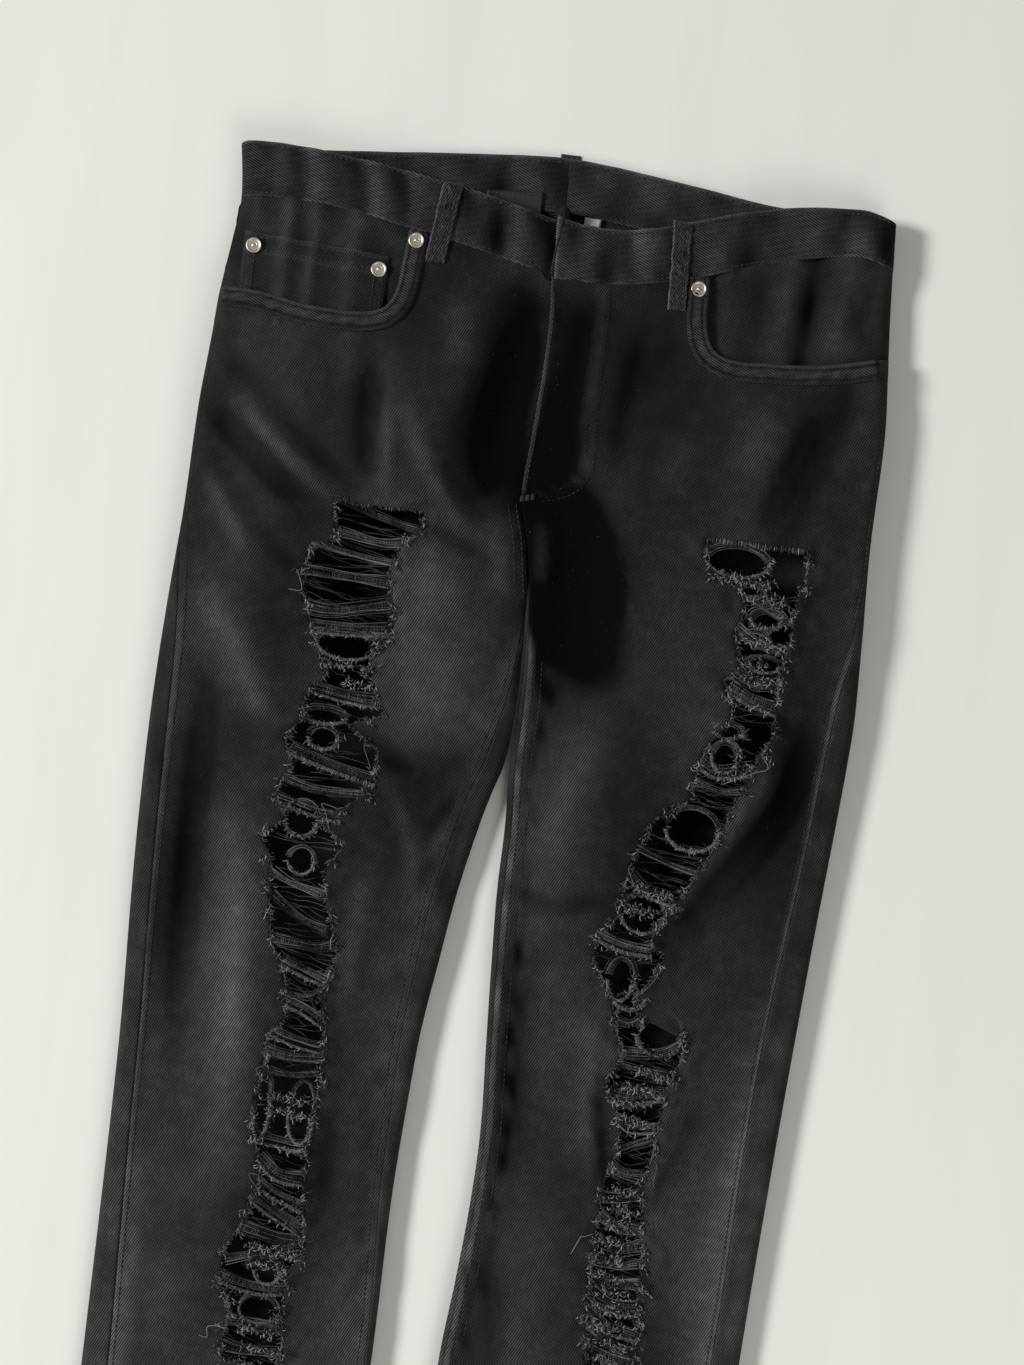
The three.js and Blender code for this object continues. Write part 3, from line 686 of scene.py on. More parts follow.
class Finish:
    """A material and its Principled shader, with a way to add nodes."""

    def __init__(self, name, **constants):
        self.material = bpy.data.materials.new(name)
        self.material.use_nodes = True
        self.tree = self.material.node_tree
        self.shader = self.tree.nodes["Principled BSDF"]
        for socket, value in constants.items():
            self.shader.inputs[socket.replace("_", " ")].default_value = value

    def node(self, kind, settings, values, output=0):
        made = self.tree.nodes.new(kind)
        for key, value in settings.items():
            setattr(made, key, value)
        for key, value in values.items():
            if isinstance(value, Wire):
                self.tree.links.new(value.socket, made.inputs[key])
            else:
                made.inputs[key].default_value = value
        return Wire(self, made.outputs[output])

    def feed(self, socket, wire):
        self.tree.links.new(wire.socket, self.shader.inputs[socket])

    def place(self):
        return self.node("ShaderNodeTexCoord", {}, {}, "Object")

    def axes(self, place):
        split = self.node("ShaderNodeSeparateXYZ", {}, {"Vector": place})
        return [Wire(self, split.socket.node.outputs[i]) for i in range(3)]

    def noise(self, place, scale, detail=3.0, roughness=0.55):
        values = {"Vector": place, "Scale": scale, "Detail": detail, "Roughness": roughness}
        return self.node("ShaderNodeTexNoise", {}, values)

    def stretched(self, place, scale):
        return self.node("ShaderNodeVectorMath", {"operation": "MULTIPLY"}, {0: place, 1: scale})

    def wear_and_shade(self):
        return self.node("ShaderNodeAttribute", {"attribute_name": "wear_and_shade"}, {}, "Fac")

    def blend(self, factor, low, high):
        settings = {"data_type": "RGBA", "clamp_factor": True}
        return self.node("ShaderNodeMix", settings, {"Factor": factor, 6: low, 7: high}, 2)

    def bump(self, height, distance, strength):
        values = {"Strength": strength, "Distance": distance, "Height": height}
        return self.node("ShaderNodeBump", {}, values)


# Distance in metres from one rib of the twill to the next.
TWILL_PITCH = 0.00145


def twill(finish, place, pitch, slope):
    """Height of a twill weave, 0 to 1: ribs of float yarns that lean `slope` across for each unit along."""
    x, y, _ = finish.axes(place)
    turn = 2 * math.pi / pitch
    lean = math.hypot(1, slope)
    ribs = (x * (turn / lean) + y * (-turn * slope / lean)).sine()
    yarns = (y * (turn * 1.25) + x * (turn * 0.35)).sine()
    return ribs * 0.36 + ribs * yarns * 0.14 + 0.5


def denim(name, dark, pale_tone, slope=0.5):
    """Black cotton twill: ribs, slub, a soft cast of fading, paler where it is worn and darker where shade is
    painted on.
    """
    finish = Finish(name, Roughness=0.9, Specular_IOR_Level=0.02, Sheen_Weight=0.02, Sheen_Roughness=0.5)
    place = finish.place()
    weave = twill(finish, place, TWILL_PITCH, slope)
    slub = finish.noise(finish.stretched(place, (1.0, 0.22, 1.0)), 900, 2)
    cloud = finish.noise(place, 16, 3)
    mottle = finish.noise(place, 95, 4, 0.65)
    lint = finish.noise(place, 620, 2, 0.5).between(0.735, 0.76)
    fading = cloud.between(0.3, 0.8) * 0.35 + mottle.between(0.4, 0.72) * 0.35 + 0.75
    level = finish.wear_and_shade() * fading * (weave * 2.0 + slub * 1.0 - 0.5) + lint * 0.3
    finish.feed("Base Color", finish.blend(level, dark, pale_tone))
    finish.feed("Normal", finish.bump(weave + slub * 0.5, 0.0003, 0.8))
    return finish.material


def yarn(name, dark, pale_tone):
    """Raw cotton yarn: fuzzy, with paler ends, and darker where shade is painted on."""
    finish = Finish(name, Roughness=0.9, Specular_IOR_Level=0.04, Sheen_Weight=0.03, Sheen_Roughness=0.4)
    place = finish.place()
    fuzz = finish.noise(place, 1500, 2)
    level = finish.wear_and_shade() + (fuzz - 0.5) * 0.5 + finish.noise(place, 60, 2).between(0.35, 0.7) * 0.18
    finish.feed("Base Color", finish.blend(level, dark, pale_tone))
    finish.feed("Normal", finish.bump(fuzz, 0.0002, 0.6))
    return finish.material


def metal(name, colour):
    """Champagne nickel, dulled in spots."""
    finish = Finish(name, Metallic=1.0, Base_Color=colour)
    place = finish.place()
    spots = finish.noise(place, 700, 3)
    finish.feed("Roughness", spots.between(0.4, 0.7) * 0.22 + 0.24)
    darker = tuple(c * 0.62 for c in colour[:3]) + (1,)
    finish.feed("Base Color", finish.blend(finish.noise(place, 420, 4).between(0.5, 0.68), colour, darker))
    finish.feed("Normal", finish.bump(spots, 0.00005, 0.5))
    return finish.material


def leather(name, colour, pale_tone):
    """Smooth dark leather with a fine pebble grain."""
    finish = Finish(name, Roughness=0.55, Specular_IOR_Level=0.2)
    place = finish.place()
    settings = {"feature": "SMOOTH_F1"}
    pebble = finish.node("ShaderNodeTexVoronoi", settings, {"Vector": place, "Scale": 1100.0})
    level = finish.wear_and_shade() + finish.noise(place, 130, 3).between(0.45, 0.75) * 0.3
    finish.feed("Base Color", finish.blend(level, colour, pale_tone))
    finish.feed("Normal", finish.bump(pebble, 0.00012, 0.6))
    return finish.material


def ribbon(name, colour, shade):
    """White woven ribbon with fine cross ribs."""
    finish = Finish(name, Roughness=0.75, Sheen_Weight=0.1)
    place = finish.place()
    _, y, _ = finish.axes(place)
    ribs = (y * 9000.0).sine()
    finish.feed("Base Color", finish.blend(ribs * 0.3 + finish.noise(place, 260, 2) * 0.5, colour, shade))
    finish.feed("Normal", finish.bump(ribs, 0.0001, 0.6))
    return finish.material


def floor_paint(name, colour):
    """A pale painted board with faint broad brushing."""
    finish = Finish(name, Roughness=0.6, Specular_IOR_Level=0.2)
    place = finish.place()
    brushed = finish.noise(finish.stretched(place, (9.0, 0.9, 1.0)), 3.0, 4)
    shade = tuple(c * 0.975 for c in colour[:3]) + (1,)
    finish.feed("Base Color", finish.blend(brushed.between(0.4, 0.7), colour, shade))
    finish.feed("Normal", finish.bump(brushed, 0.0006, 0.12))
    return finish.material


# ---------- settings ----------
def colour(name, description, default):
    return bpy.props.FloatVectorProperty(
        name=name, description=description, default=default, size=3, min=0, max=1, subtype="COLOR"
    )


def length(name, description, default):
    return bpy.props.FloatProperty(name=name, description=description, default=default, min=0, unit="LENGTH")


class JeansCloth(bpy.types.PropertyGroup):
    denim_dark: colour("Denim", "Black of the unworn cloth", (0.0016, 0.0016, 0.0019))
    denim_worn: colour("Worn denim", "Grey of cloth worn through its dye", (0.15, 0.152, 0.163))
    yarn_dark: colour("Yarn", "Colour of the frayed yarns in shade", (0.0035, 0.0037, 0.0043))
    yarn_worn: colour("Yarn ends", "Colour of the frayed yarns' pale ends", (0.27, 0.27, 0.272))
    cell: length("Cell", "Size of a cell of the fine cloth mesh", 0.003)
    wall: length("Cloth wall", "Thickness of one layer of denim", 0.0011)
    band_wall: length("Band wall", "Thickness of the folded waistband", 0.0026)


class JeansTrim(bpy.types.PropertyGroup):
    metal_colour: colour("Rivets", "Colour of the rivets", (0.56, 0.5, 0.4))
    leather_colour: colour("Patch", "Colour of the leather patch", (0.0045, 0.0045, 0.005))
    ribbon_colour: colour("Ribbon", "Colour of the small ribbon", (0.62, 0.62, 0.6))
    stitch_length: length("Stitch", "Length of one topstitch", 0.0026)
    stitch_gap: length("Stitch gap", "Distance between two topstitches", 0.0009)
    thread_radius: length("Thread radius", "Half the thickness of the topstitching thread", 0.00034)


class JeansStage(bpy.types.PropertyGroup):
    floor_colour: colour("Floor", "Colour of the floor", (0.787, 0.79, 0.757))
    camera_height: length("Camera height", "Height of the camera above the floor", 1.25)
    turn: bpy.props.FloatProperty(
        name="Turn", description="How far the camera is turned about the vertical", default=math.radians(7),
        subtype="ANGLE",
    )


def opaque(value):
    return tuple(value) + (1,)


def finish_named(name):
    """The finish of that name, made on first use."""
    found = bpy.data.materials.get(name)
    if found:
        return found
    cloth = bpy.context.scene.jeans_cloth
    trim = bpy.context.scene.jeans_trim
    dark, pale_tone = opaque(cloth.denim_dark), opaque(cloth.denim_worn)
    makers = {
        "denim_leg": lambda: denim(name, dark, pale_tone),
        "denim_across": lambda: denim(name, dark, pale_tone, slope=-2.0),
        "pocket_cloth": lambda: denim(name, dark, pale_tone),
        "thread": lambda: yarn(name, tuple(c * 0.9 for c in dark[:3]) + (1,), pale_tone),
        "frayed_yarn": lambda: yarn(name, opaque(cloth.yarn_dark), opaque(cloth.yarn_worn)),
        "rivet_metal": lambda: metal(name, opaque(trim.metal_colour)),
        "patch_leather": lambda: leather(name, opaque(trim.leather_colour), (0.06, 0.06, 0.062, 1)),
        "label_ribbon": lambda: ribbon(name, opaque(trim.ribbon_colour), (0.33, 0.33, 0.32, 1)),
    }
    return makers[name]()


def cloth_piece(made, nodes, flat, share=1.0):
    """Hides the solid's parts that a cloth piece stands for and returns it; flat is its cut size and share
    its part of flat's rectangle, from which an area is worked out and not used.
    """
    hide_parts(*nodes)
    area = None if share >= 1 else share * flat[0] * flat[1]
    return made


# ---------- front panels ----------
def inside_polygon(x, d, polygon):
    inside = np.zeros(np.shape(x), bool)
    polygon = np.asarray(polygon, float)
    for (x0, d0), (x1, d1) in zip(polygon, np.roll(polygon, -1, axis=0)):
        crosses = (d0 > d) != (d1 > d)
        with np.errstate(divide="ignore", invalid="ignore"):
            at = x0 + (d - d0) * (x1 - x0) / (d1 - d0)
        inside ^= crosses & (x < at)
    return inside


def corners_of(cells, shape):
    """The points of a grid that touch a marked cell."""
    touched = np.zeros(shape, bool)
    for i, j in ((0, 0), (0, 1), (1, 0), (1, 1)):
        touched[i : i + cells.shape[0], j : j + cells.shape[1]] |= cells
    return touched


def top_arc(side, x, d):
    """Distance along the top cloth from the outermost point to x, past the roll."""
    return np.abs(x - outer_edge[side](d)) - outer_roll(d) + quarter(outer_roll(d))


def front_wear_and_shade(side, x, d):
    """How worn the front is at each place, with painted shade in its crease and fold valleys, over the fly
    facing and in the deep valley at the crotch.
    """
    wear_and_shade = 0.13 + 0.04 * broad_swell[side](x + 40, d)
    # Crease ridges are paler where worn; crease valleys, and fold valleys on the next line, are darker as
    # painted shade.
    wear_and_shade = wear_and_shade + np.clip(0.035 * crease_height(side, x, d), -0.07, 0.14)
    wear_and_shade = wear_and_shade + np.clip(0.035 * (fold_height(x, d) + 1.4), -0.07, 0)
    to_mouth, _ = path_distance(x, d, smooth_path(MOUTH[side], 3))
    high = 1 - step(d, 100, 130)
    wear_and_shade = wear_and_shade + high * (0.12 * (1 - step(to_mouth, 0.5, 2.4)) + 0.05 * bell(to_mouth - 6, 3.5))
    to_side = np.abs(x - seam_x(side, d))
    to_in = np.where(d > CROTCH + 20, np.abs(x - inseam_x(side, d)), 99)
    puckers = 0.5 + 0.5 * pucker_swell[side](x, d * 0.5)
    if side == RIGHT:
        lower = step(d, 420, 720)
        streaks = step(pucker_swell[side](x * 0.2, d * 1.6), 0.5, 1.3) * lower
        wear_and_shade = wear_and_shade + 0.1 * lower * bell(to_side, 26) + 0.3 * bell(to_side, 1.7) * step(d, 200, 300)
        wear_and_shade = wear_and_shade + 0.3 * streaks * bell(to_side - 4, 14) + 0.22 * bell(to_in - 1, 2.2) * (0.5 + puckers)
        wear_and_shade = wear_and_shade + 0.25 * step(d, 470, 640) * bell(to_side - 2, 15)
        for mark in SEAM_MARKS:
            wear_and_shade = wear_and_shade + 0.14 * bell(path_distance(x, d, mark)[0], 3.2) * step(x, 160, 196)
        wear_and_shade = wear_and_shade + 0.1 * step(d, 450, 540) * bell(x - 57, 24)
        wear_and_shade = wear_and_shade - 0.1 * bell(to_in - 11, 7) * puckers
        wear_and_shade = wear_and_shade + 0.3 * bell(x - centre_front(d) - 0.8, 1.5) * (1 - step(d, TACK - 6, TACK))
        # Painted shade over the fly facing.
        wear_and_shade = wear_and_shade - 0.115 * bell(path_distance(x, d, ((20, 70), (16, 165)))[0], 22)
        wear_and_shade = wear_and_shade - 0.05 * bell(x - 50, 50) * (1 - step(d, 300, 420))
        to_j, _ = path_distance(x, d, smooth_path(J_STITCH, 3))
        wear_and_shade = wear_and_shade + 0.07 * bell(to_j - 2, 1.6) * (1 - step(d, 180, 190))
    else:
        lower = step(d, 330, 700)
        wear_and_shade = wear_and_shade + 0.07 * lower * step(np.abs(x + 130), 30, 95) + 0.08 * step(d, 620, 820)
        wear_and_shade = wear_and_shade + 0.16 * bell(to_side, 1.6) * step(d, 250, 330)
        wear_and_shade = wear_and_shade + 0.08 * bell(to_in - 8, 10) * (puckers - 0.3) + 0.08 * bell(to_in - 2, 1.6)
        wear_and_shade = wear_and_shade + 0.24 * step(d, 600, 720) * bell(to_side - 3, 9)
        wear_and_shade = wear_and_shade + 0.13 * bell(path_distance(x, d, ((-168, 425), (-153, 560), (-148, 640)))[0], 17)
        wear_and_shade = wear_and_shade + 0.08 * bell(path_distance(x, d, ((-205, 288), (-165, 335)))[0], 14)
        wear_and_shade = wear_and_shade + 0.05 * bell(path_distance(x, d, ((-92, 118), (-86, 186)))[0], 20)
        wear_and_shade = wear_and_shade + 0.14 * bell(path_distance(x, d, ((-60, 255), (-44, 330)))[0], 30)
    # painted shade: the deep valley at the crotch and beside the fly, and the inner thigh beside it, are
    # darkened where shade falls
    valley, _ = path_distance(x, d, ((-16, 60), (-20, 130), (-10, 190), (8, 250)))
    thigh, _ = path_distance(x, d, ((26, 205), (36, 232), (25, 262)))
    if side == LEFT:
        wear_and_shade = wear_and_shade + 0.2 * bell(path_distance(x, d, ((-40, 240), (-34, 330)))[0], 28)
    thigh = thigh + 9 * small_swell[side](x, d) + 0.25 * np.abs(d - 235)
    return np.maximum(wear_and_shade - 0.085 * bell(valley, 21) - 0.1 * bell(thigh, 30), 0.004)


def front_panel(side, name, settings):
    cell = settings.cell / MM
    first, last = 60.0, HEM
    rows_below = np.concatenate([np.arange(first, 830, cell), np.linspace(830, last, 60)])
    rows_above = 14
    near_columns, rip_columns, far_columns = 34, 15, 34

    def columns(d):
        """Distances along the cloth at depth d: up to the ladder, across it, and on to the inseam."""
        start = side_seam_inset[side](d) + SEAM_GAP / 2
        end = ring_length(side, d, middle_top) - (inseam_inset[side](d) + SEAM_GAP / 2 if d >= CROTCH else 0)
        reach = np.clip(d, LADDER_TOP[side], LADDER_END)
        x_outer, x_inner = ladder_edges(side, reach)
        near, far = sorted((float(top_arc(side, x_outer, d)), float(top_arc(side, x_inner, d))))
        tight = np.array([0, 0.012, 0.025, 0.045])
        near_share = np.concatenate([tight, np.linspace(0.07, 1, near_columns - 4)])
        far_share = np.concatenate([np.linspace(0, 0.93, far_columns - 4), 1 - tight[::-1]])
        across = np.linspace(near, far, rip_columns)[1:-1]
        return np.concatenate((mix(start, near, near_share), across, mix(far, end, far_share)))

    top_arcs = columns(first)
    top_x = ring(side, top_arcs, np.full(len(top_arcs), 40.0))[:, 0]
    cuff = band_bottom_front[side](top_x) - 1.5
    depth = [mix(cuff, first, i / rows_above) for i in range(rows_above)]
    arcs = [top_arcs] * rows_above
    for d in rows_below:
        arcs.append(columns(d))
        depth.append(np.full(len(top_arcs), d))
    arcs, depth = np.array(arcs), np.array(depth)
    grid = ring(side, arcs, depth)
    cell_d = (depth[:-1, :-1] + depth[1:, 1:]) / 2
    keep = np.ones(cell_d.shape, bool)
    rip = slice(near_columns - 1, near_columns + rip_columns - 2)
    in_ladder = (cell_d[:, rip] > LADDER_TOP[side]) & (cell_d[:, rip] < LADDER_END)
    keep[:, rip] = ~in_ladder
    # the pocket mouth is cut away, and its edge follows the mouth's curve
    mouth = smooth_path(MOUTH[side], 1.2)
    corner = np.array([[mouth[-1][0], -60], [mouth[0][0], -60]])
    mid = (grid[:-1, :-1] + grid[1:, 1:]) / 2
    gone = inside_polygon(mid[..., 0], WAIST_Y - mid[..., 1], np.concatenate([mouth, corner]))
    keep &= ~gone
    edge = corners_of(gone, grid.shape[:2]) & corners_of(~gone, grid.shape[:2])
    flat = grid[edge]
    away = np.hypot(flat[:, None, 0] - mouth[None, :, 0], WAIST_Y - flat[:, None, 1] - mouth[None, :, 1])
    nearest = mouth[away.argmin(1)]
    grid[edge] = point(nearest[:, 0], nearest[:, 1], top_height(side, nearest[:, 0], nearest[:, 1]))
    wear_and_shade = front_wear_and_shade(side, grid[..., 0], WAIST_Y - grid[..., 1])
    made = sheet_object(
        "cloth_front_" + name, grid, settings.wall / MM, finish_named("denim_leg"), wear_and_shade, keep, side == RIGHT
    )
    hem = mouth_hem(side, name)
    return cloth_piece(
        made, ["front_" + name], (0.245, 1.03), 0.8
    )


# ---------- back panels, yokes and back pockets ----------
def underside_lift(side, grid, d, inset):
    """Soft ridges on the underside, upwards, away from the floor that it lies on."""
    swells = np.maximum(broad_swell[side](grid[..., 0] * 1.3, d), 0) * 1.3
    swells = swells + np.maximum(small_swell[side](grid[..., 0], d), 0) * 0.5
    return swells * inset


def back_stops(side, d, with_inner):
    start = -side_seam_inset[side](d) + SEAM_GAP / 2
    length = ring_length(side, d, middle_bottom)
    roll = quarter(outer_roll(d))
    inner = max(float(quarter(inner_roll(d))), 9.0) if with_inner else 0.0
    parts = [np.linspace(start, roll, 18)[:-1], np.linspace(roll, length - inner, 30)]
    if with_inner:
        end = length + (inseam_inset[side](d) - SEAM_GAP / 2 if d >= CROTCH else 0)
        parts.append(np.linspace(length - inner, end, 14)[1:])
    return np.concatenate(parts)


def back_wear(side, grid, d, on_top):
    strip = 0.15 + 0.04 * small_swell[side](grid[..., 0], d)
    plain = 0.08 + 0.05 * broad_swell[side](grid[..., 0], d)
    lower = 0.12 * step(d, 450, 700) if side == RIGHT else 0.1 * step(d, 400, 700)
    return np.where(on_top, strip + lower, plain)


def back_panel(side, name, settings):
    cell = settings.cell / MM * 1.2
    depths = np.concatenate([np.arange(66, 830, cell), np.linspace(830, HEM, 48)])
    rows, where = [], []
    for d in depths:
        stops = back_stops(side, d, True)
        rows.append(stops)
        where.append(np.full(len(stops), d))
    stops, depth = np.array(rows), np.array(where)
    # the first row follows the yoke's seam
    seam_row = yoke_seam(ring(side, -stops[0], depth[0])[:, 0]) - 1.2
    stops = np.concatenate([stops[:1], stops])
    depth = np.concatenate([seam_row[None], depth])
    grid = ring(side, -stops, depth)
    length = ring_length(side, depth, middle_bottom)
    flat = step(stops, 14, 40) * (1 - step(stops, length - 40, length - 14))
    grid[..., 2] += underside_lift(side, grid, depth, flat)
    wear_and_shade = back_wear(side, grid, depth, (stops < 0) | (stops > length))
    made = sheet_object(
        "cloth_back_" + name, grid, settings.wall / MM, finish_named("denim_leg"), wear_and_shade, None, side == LEFT
    )
    return cloth_piece(made, ["back_" + name], (0.29, 0.99), 0.87)


def yoke(side, name, settings):
    stops = back_stops(side, 40, False)
    x = ring(side, -stops, np.full(len(stops), 40.0))[:, 0]
    top, bottom = band_bottom_back(x) - 1.0, yoke_seam(x)
    depth = np.array([mix(top, bottom, v) for v in np.linspace(0, 1, 16)])
    grid = ring(side, -np.broadcast_to(stops, depth.shape), depth)
    wear_and_shade = 0.12 + 0.06 * small_swell[side](grid[..., 0], depth)
    made = sheet_object(
        "cloth_yoke_" + name, grid, settings.wall / MM, finish_named("denim_across"), wear_and_shade, None, side == LEFT
    )
    return cloth_piece(made, ["back_yoke_" + name], (0.235, 0.06), 0.9)


def slab_grid(corners, n, m):
    """x and d over a patch between four corners: top outer, top inner, bottom inner, bottom outer."""
    p, q, r, s = np.array(corners, float)
    u, v = np.linspace(0, 1, m)[None, :, None], np.linspace(0, 1, n)[:, None, None]
    return mix(mix(p, q, u), mix(s, r, u), v), u[..., 0], v[..., 0]


def under_patch(name, corners, finish, n=24, m=24, drop=0.0):
    """A flat patch under the seat, its top surface facing the seat and its edges turned in."""
    high = LIFT - SEAM_GAP
    low = 0.1
    place, u, v = slab_grid(corners, n, m)
    x, d = place[..., 0], place[..., 1]
    if drop:
        d = d + drop * step(v, 0.55, 1) * (1 - np.abs(2 * u - 1))
    edge = np.minimum(np.minimum(u, 1 - u) * m, np.minimum(v, 1 - v) * n)
    z = low + 0.35 * bell(edge, 1.4) + 0 * x
    grid = point(x, d, z)
    wear_and_shade = 0.12 + 0.25 * bell(edge, 0.8)
    return sheet_object(name, grid, -(high - low - 0.35), finish, wear_and_shade, None, corners[0][0] < corners[1][0])


def back_pocket(side, name):
    corners = [(40 * side, 100), (176 * side, 88), (170 * side, 212), (50 * side, 220)]
    made = under_patch("cloth_back_pocket_" + name, corners, finish_named("denim_leg"), drop=20.0)
    return cloth_piece(made, ["back_pocket_" + name], (0.137, 0.145), 0.86)


# ---------- waistband and belt loops ----------
def band_round(v, height, radius=1.3):
    """How far the band's face drops at its two folded edges."""
    from_edge = np.minimum(v, 1 - v) * height
    return radius - np.sqrt(np.maximum(radius**2 - np.maximum(radius - from_edge, 0) ** 2, 0))


def band_wear(x, v, side):
    edges = 0.3 * bell(v * BAND_HEIGHT, 1.5) + 0.14 * bell((1 - v) * BAND_HEIGHT, 1.3)
    return 0.12 + edges + 0.07 * small_swell[side](x, v * 30)


def band_sink(side, x):
    """How far the underlapping end of the band lies lower, beneath the other end."""
    return 1.3 * (1 - step(np.abs(x - centre_front(20)), 8, 50)) if side == LEFT else 0.0


def band_ripples(side, x, d):
    """Ripples across the front of the band, dying out at the side."""
    waves = 0.5 * np.maximum(small_swell[side](x, d * 0.6), -0.5)
    folds = upright_folds(BAND_RIPPLES[side], x, d, 0.12)
    return (waves + 1.4 * folds) * step(np.abs(x - outer_edge[side](10)), 0, 20)


def waistband(side, name, settings):
    across = np.array([0, 0.012, 0.03, 0.055, *np.linspace(0.09, 0.91, 13), 0.945, 0.97, 0.988, 1])
    grid, wear_and_shade = [], []
    over = ring_length(side, 20.0, middle_top)
    beneath = ring_length(side, 0.0, middle_bottom)
    for share in np.linspace(0.995, 0, 84):
        x = ring(side, share * over, 20.0)[0]
        d = mix(band_top_front[side](x), band_bottom_front[side](x), across)
        column = ring(side, np.minimum(share * over, ring_length(side, d, middle_top)), d, form_height)
        swell_z = band_ripples(side, x, d)
        from_top, from_bottom = across * BAND_HEIGHT, (1 - across) * BAND_HEIGHT
        seams = -0.35 * bell(from_top - 3, 0.9) - 0.35 * bell(from_bottom - 2.6, 0.9)
        column[:, 2] += BAND_PROUD - band_round(across, BAND_HEIGHT) - band_sink(side, x) + swell_z + seams
        pale_tone = band_wear(x, across, side)
        # The band's end is paler where worn; the ripples' crests are paler where worn, and their troughs
        # darker as painted shade.
        pale_tone = pale_tone + 0.25 * bell(share * over - over * 0.995, 1.6) + np.clip(0.08 * swell_z, -0.04, 0.13)
        grid.append(column)
        wear_and_shade.append(pale_tone)
    for share in (*np.linspace(0.008, 0.989, 77), 0.9945, 0.998, 1.0):
        x = ring(side, -share * beneath, 0.0)[0]
        d = mix(band_top_back(x), band_bottom_back(x), across)
        reach = mix(beneath, ring_length(side, d, middle_bottom), step(share, 0.5, 1))
        column = ring(side, -share * reach, d, form_height)
        column[:, 2] += 0.3 * np.maximum(small_swell[side](x, d), 0) * step(share, 0.05, 0.2)
        column[:, 0] -= 0.45 * side * step(share, 0.96, 1)
        grid.append(column)
        wear_and_shade.append(band_wear(x, across, side) + 0.05)
    grid, wear_and_shade = np.array(grid), np.array(wear_and_shade)
    wall = settings.band_wall / MM
    finish = finish_named("denim_across")
    made = sheet_object("cloth_waistband_" + name, grid, wall, finish, wear_and_shade, None, side == RIGHT)
    return cloth_piece(made, ["waistband_" + name], (0.45, 0.036), 1.0)


FRONT_LOOPS = {
    LEFT: {"top": (-73.2, -11.5), "bottom": (-79.5, 42.6), "width": 13},
    RIGHT: {"top": (77.2, -4.5), "bottom": (79.8, 54.5), "width": 12},
}


def loop_height(side, x, d):
    return form_height(side, x, d) + BAND_PROUD + 0.25 * small_swell[side](x, d * 0.6)


def front_loop(side, name):
    size = FRONT_LOOPS[side]
    top, bottom, half = size["top"], size["bottom"], size["width"] / 2
    corners = [
        (top[0] - half, top[1]), (top[0] + half, top[1]),
        (bottom[0] + half, bottom[1]), (bottom[0] - half, bottom[1]),
    ]
    place, u, v = slab_grid(corners, 40, 17)
    rng = np.random.default_rng(31 + side)
    x, d = place[..., 0], place[..., 1]
    x = x + 0.25 * swell(40 + side, 9)(x * 0, d) * (2 * u - 1)
    edge_round = band_round(u, size["width"], 1.1)
    bow = 1.9 * step(v, 0, 0.08) * (1 - step(v, 0.93, 1)) + 0.5
    tacks = -0.8 * bell((v - 0.14) * LOOP_LENGTH, 1.6) - 0.8 * bell((v - 0.9) * LOOP_LENGTH, 1.6)
    rows = -0.4 * bell((u - 0.22) * size["width"], 0.8) - 0.4 * bell((u - 0.78) * size["width"], 0.8)
    z = loop_height(side, x, d) + bow + tacks + rows - edge_round + 0.2 * swell(50 + side, 8)(x, d)
    z = z - 2.0 * (1 - step(v, 0, 0.05))
    pale_tone = 0.18 + 0.45 * bell(np.minimum(u, 1 - u) * size["width"], 0.9) + 0.3 * bell(v * LOOP_LENGTH, 1.5)
    pale_tone = pale_tone + 0.08 * rng.standard_normal(pale_tone.shape) + 0 * x
    made = sheet_object("cloth_loop_front_" + name, point(x, d, z), 1.5, finish_named("denim_leg"), pale_tone)
    flat = (size["width"] * MM, 0.056)
    return cloth_piece(
        made, ["belt_loop_front_" + name], flat
    )


def back_loop(x, top, bottom, width, name, node):
    corners = [(x - width / 2, top), (x + width / 2, top), (x + width / 2, bottom), (x - width / 2, bottom)]
    made = under_patch(name, corners, finish_named("denim_leg"), n=22, m=9)
    return cloth_piece(made, [node], (width * MM, (bottom - top) * MM))


# ---------- pockets ----------
def hem_out(away):
    """How far the folded hem stands out, from its rolled edge at 0 to its sewn edge at HEM_WIDTH."""
    roll = 1.25 * np.sqrt(np.clip(1 - (1 - np.clip(away, 0, 2) / 2) ** 2, 0, 1))
    roll = roll - 0.6 * (1 - step(away, 0, 0.8))
    grooves = -0.45 * bell(away - HEM_ROWS[0], 0.8) - 0.45 * bell(away - HEM_ROWS[1], 0.8)
    return roll + grooves - 0.95 * step(away, HEM_WIDTH - 1.4, HEM_WIDTH)


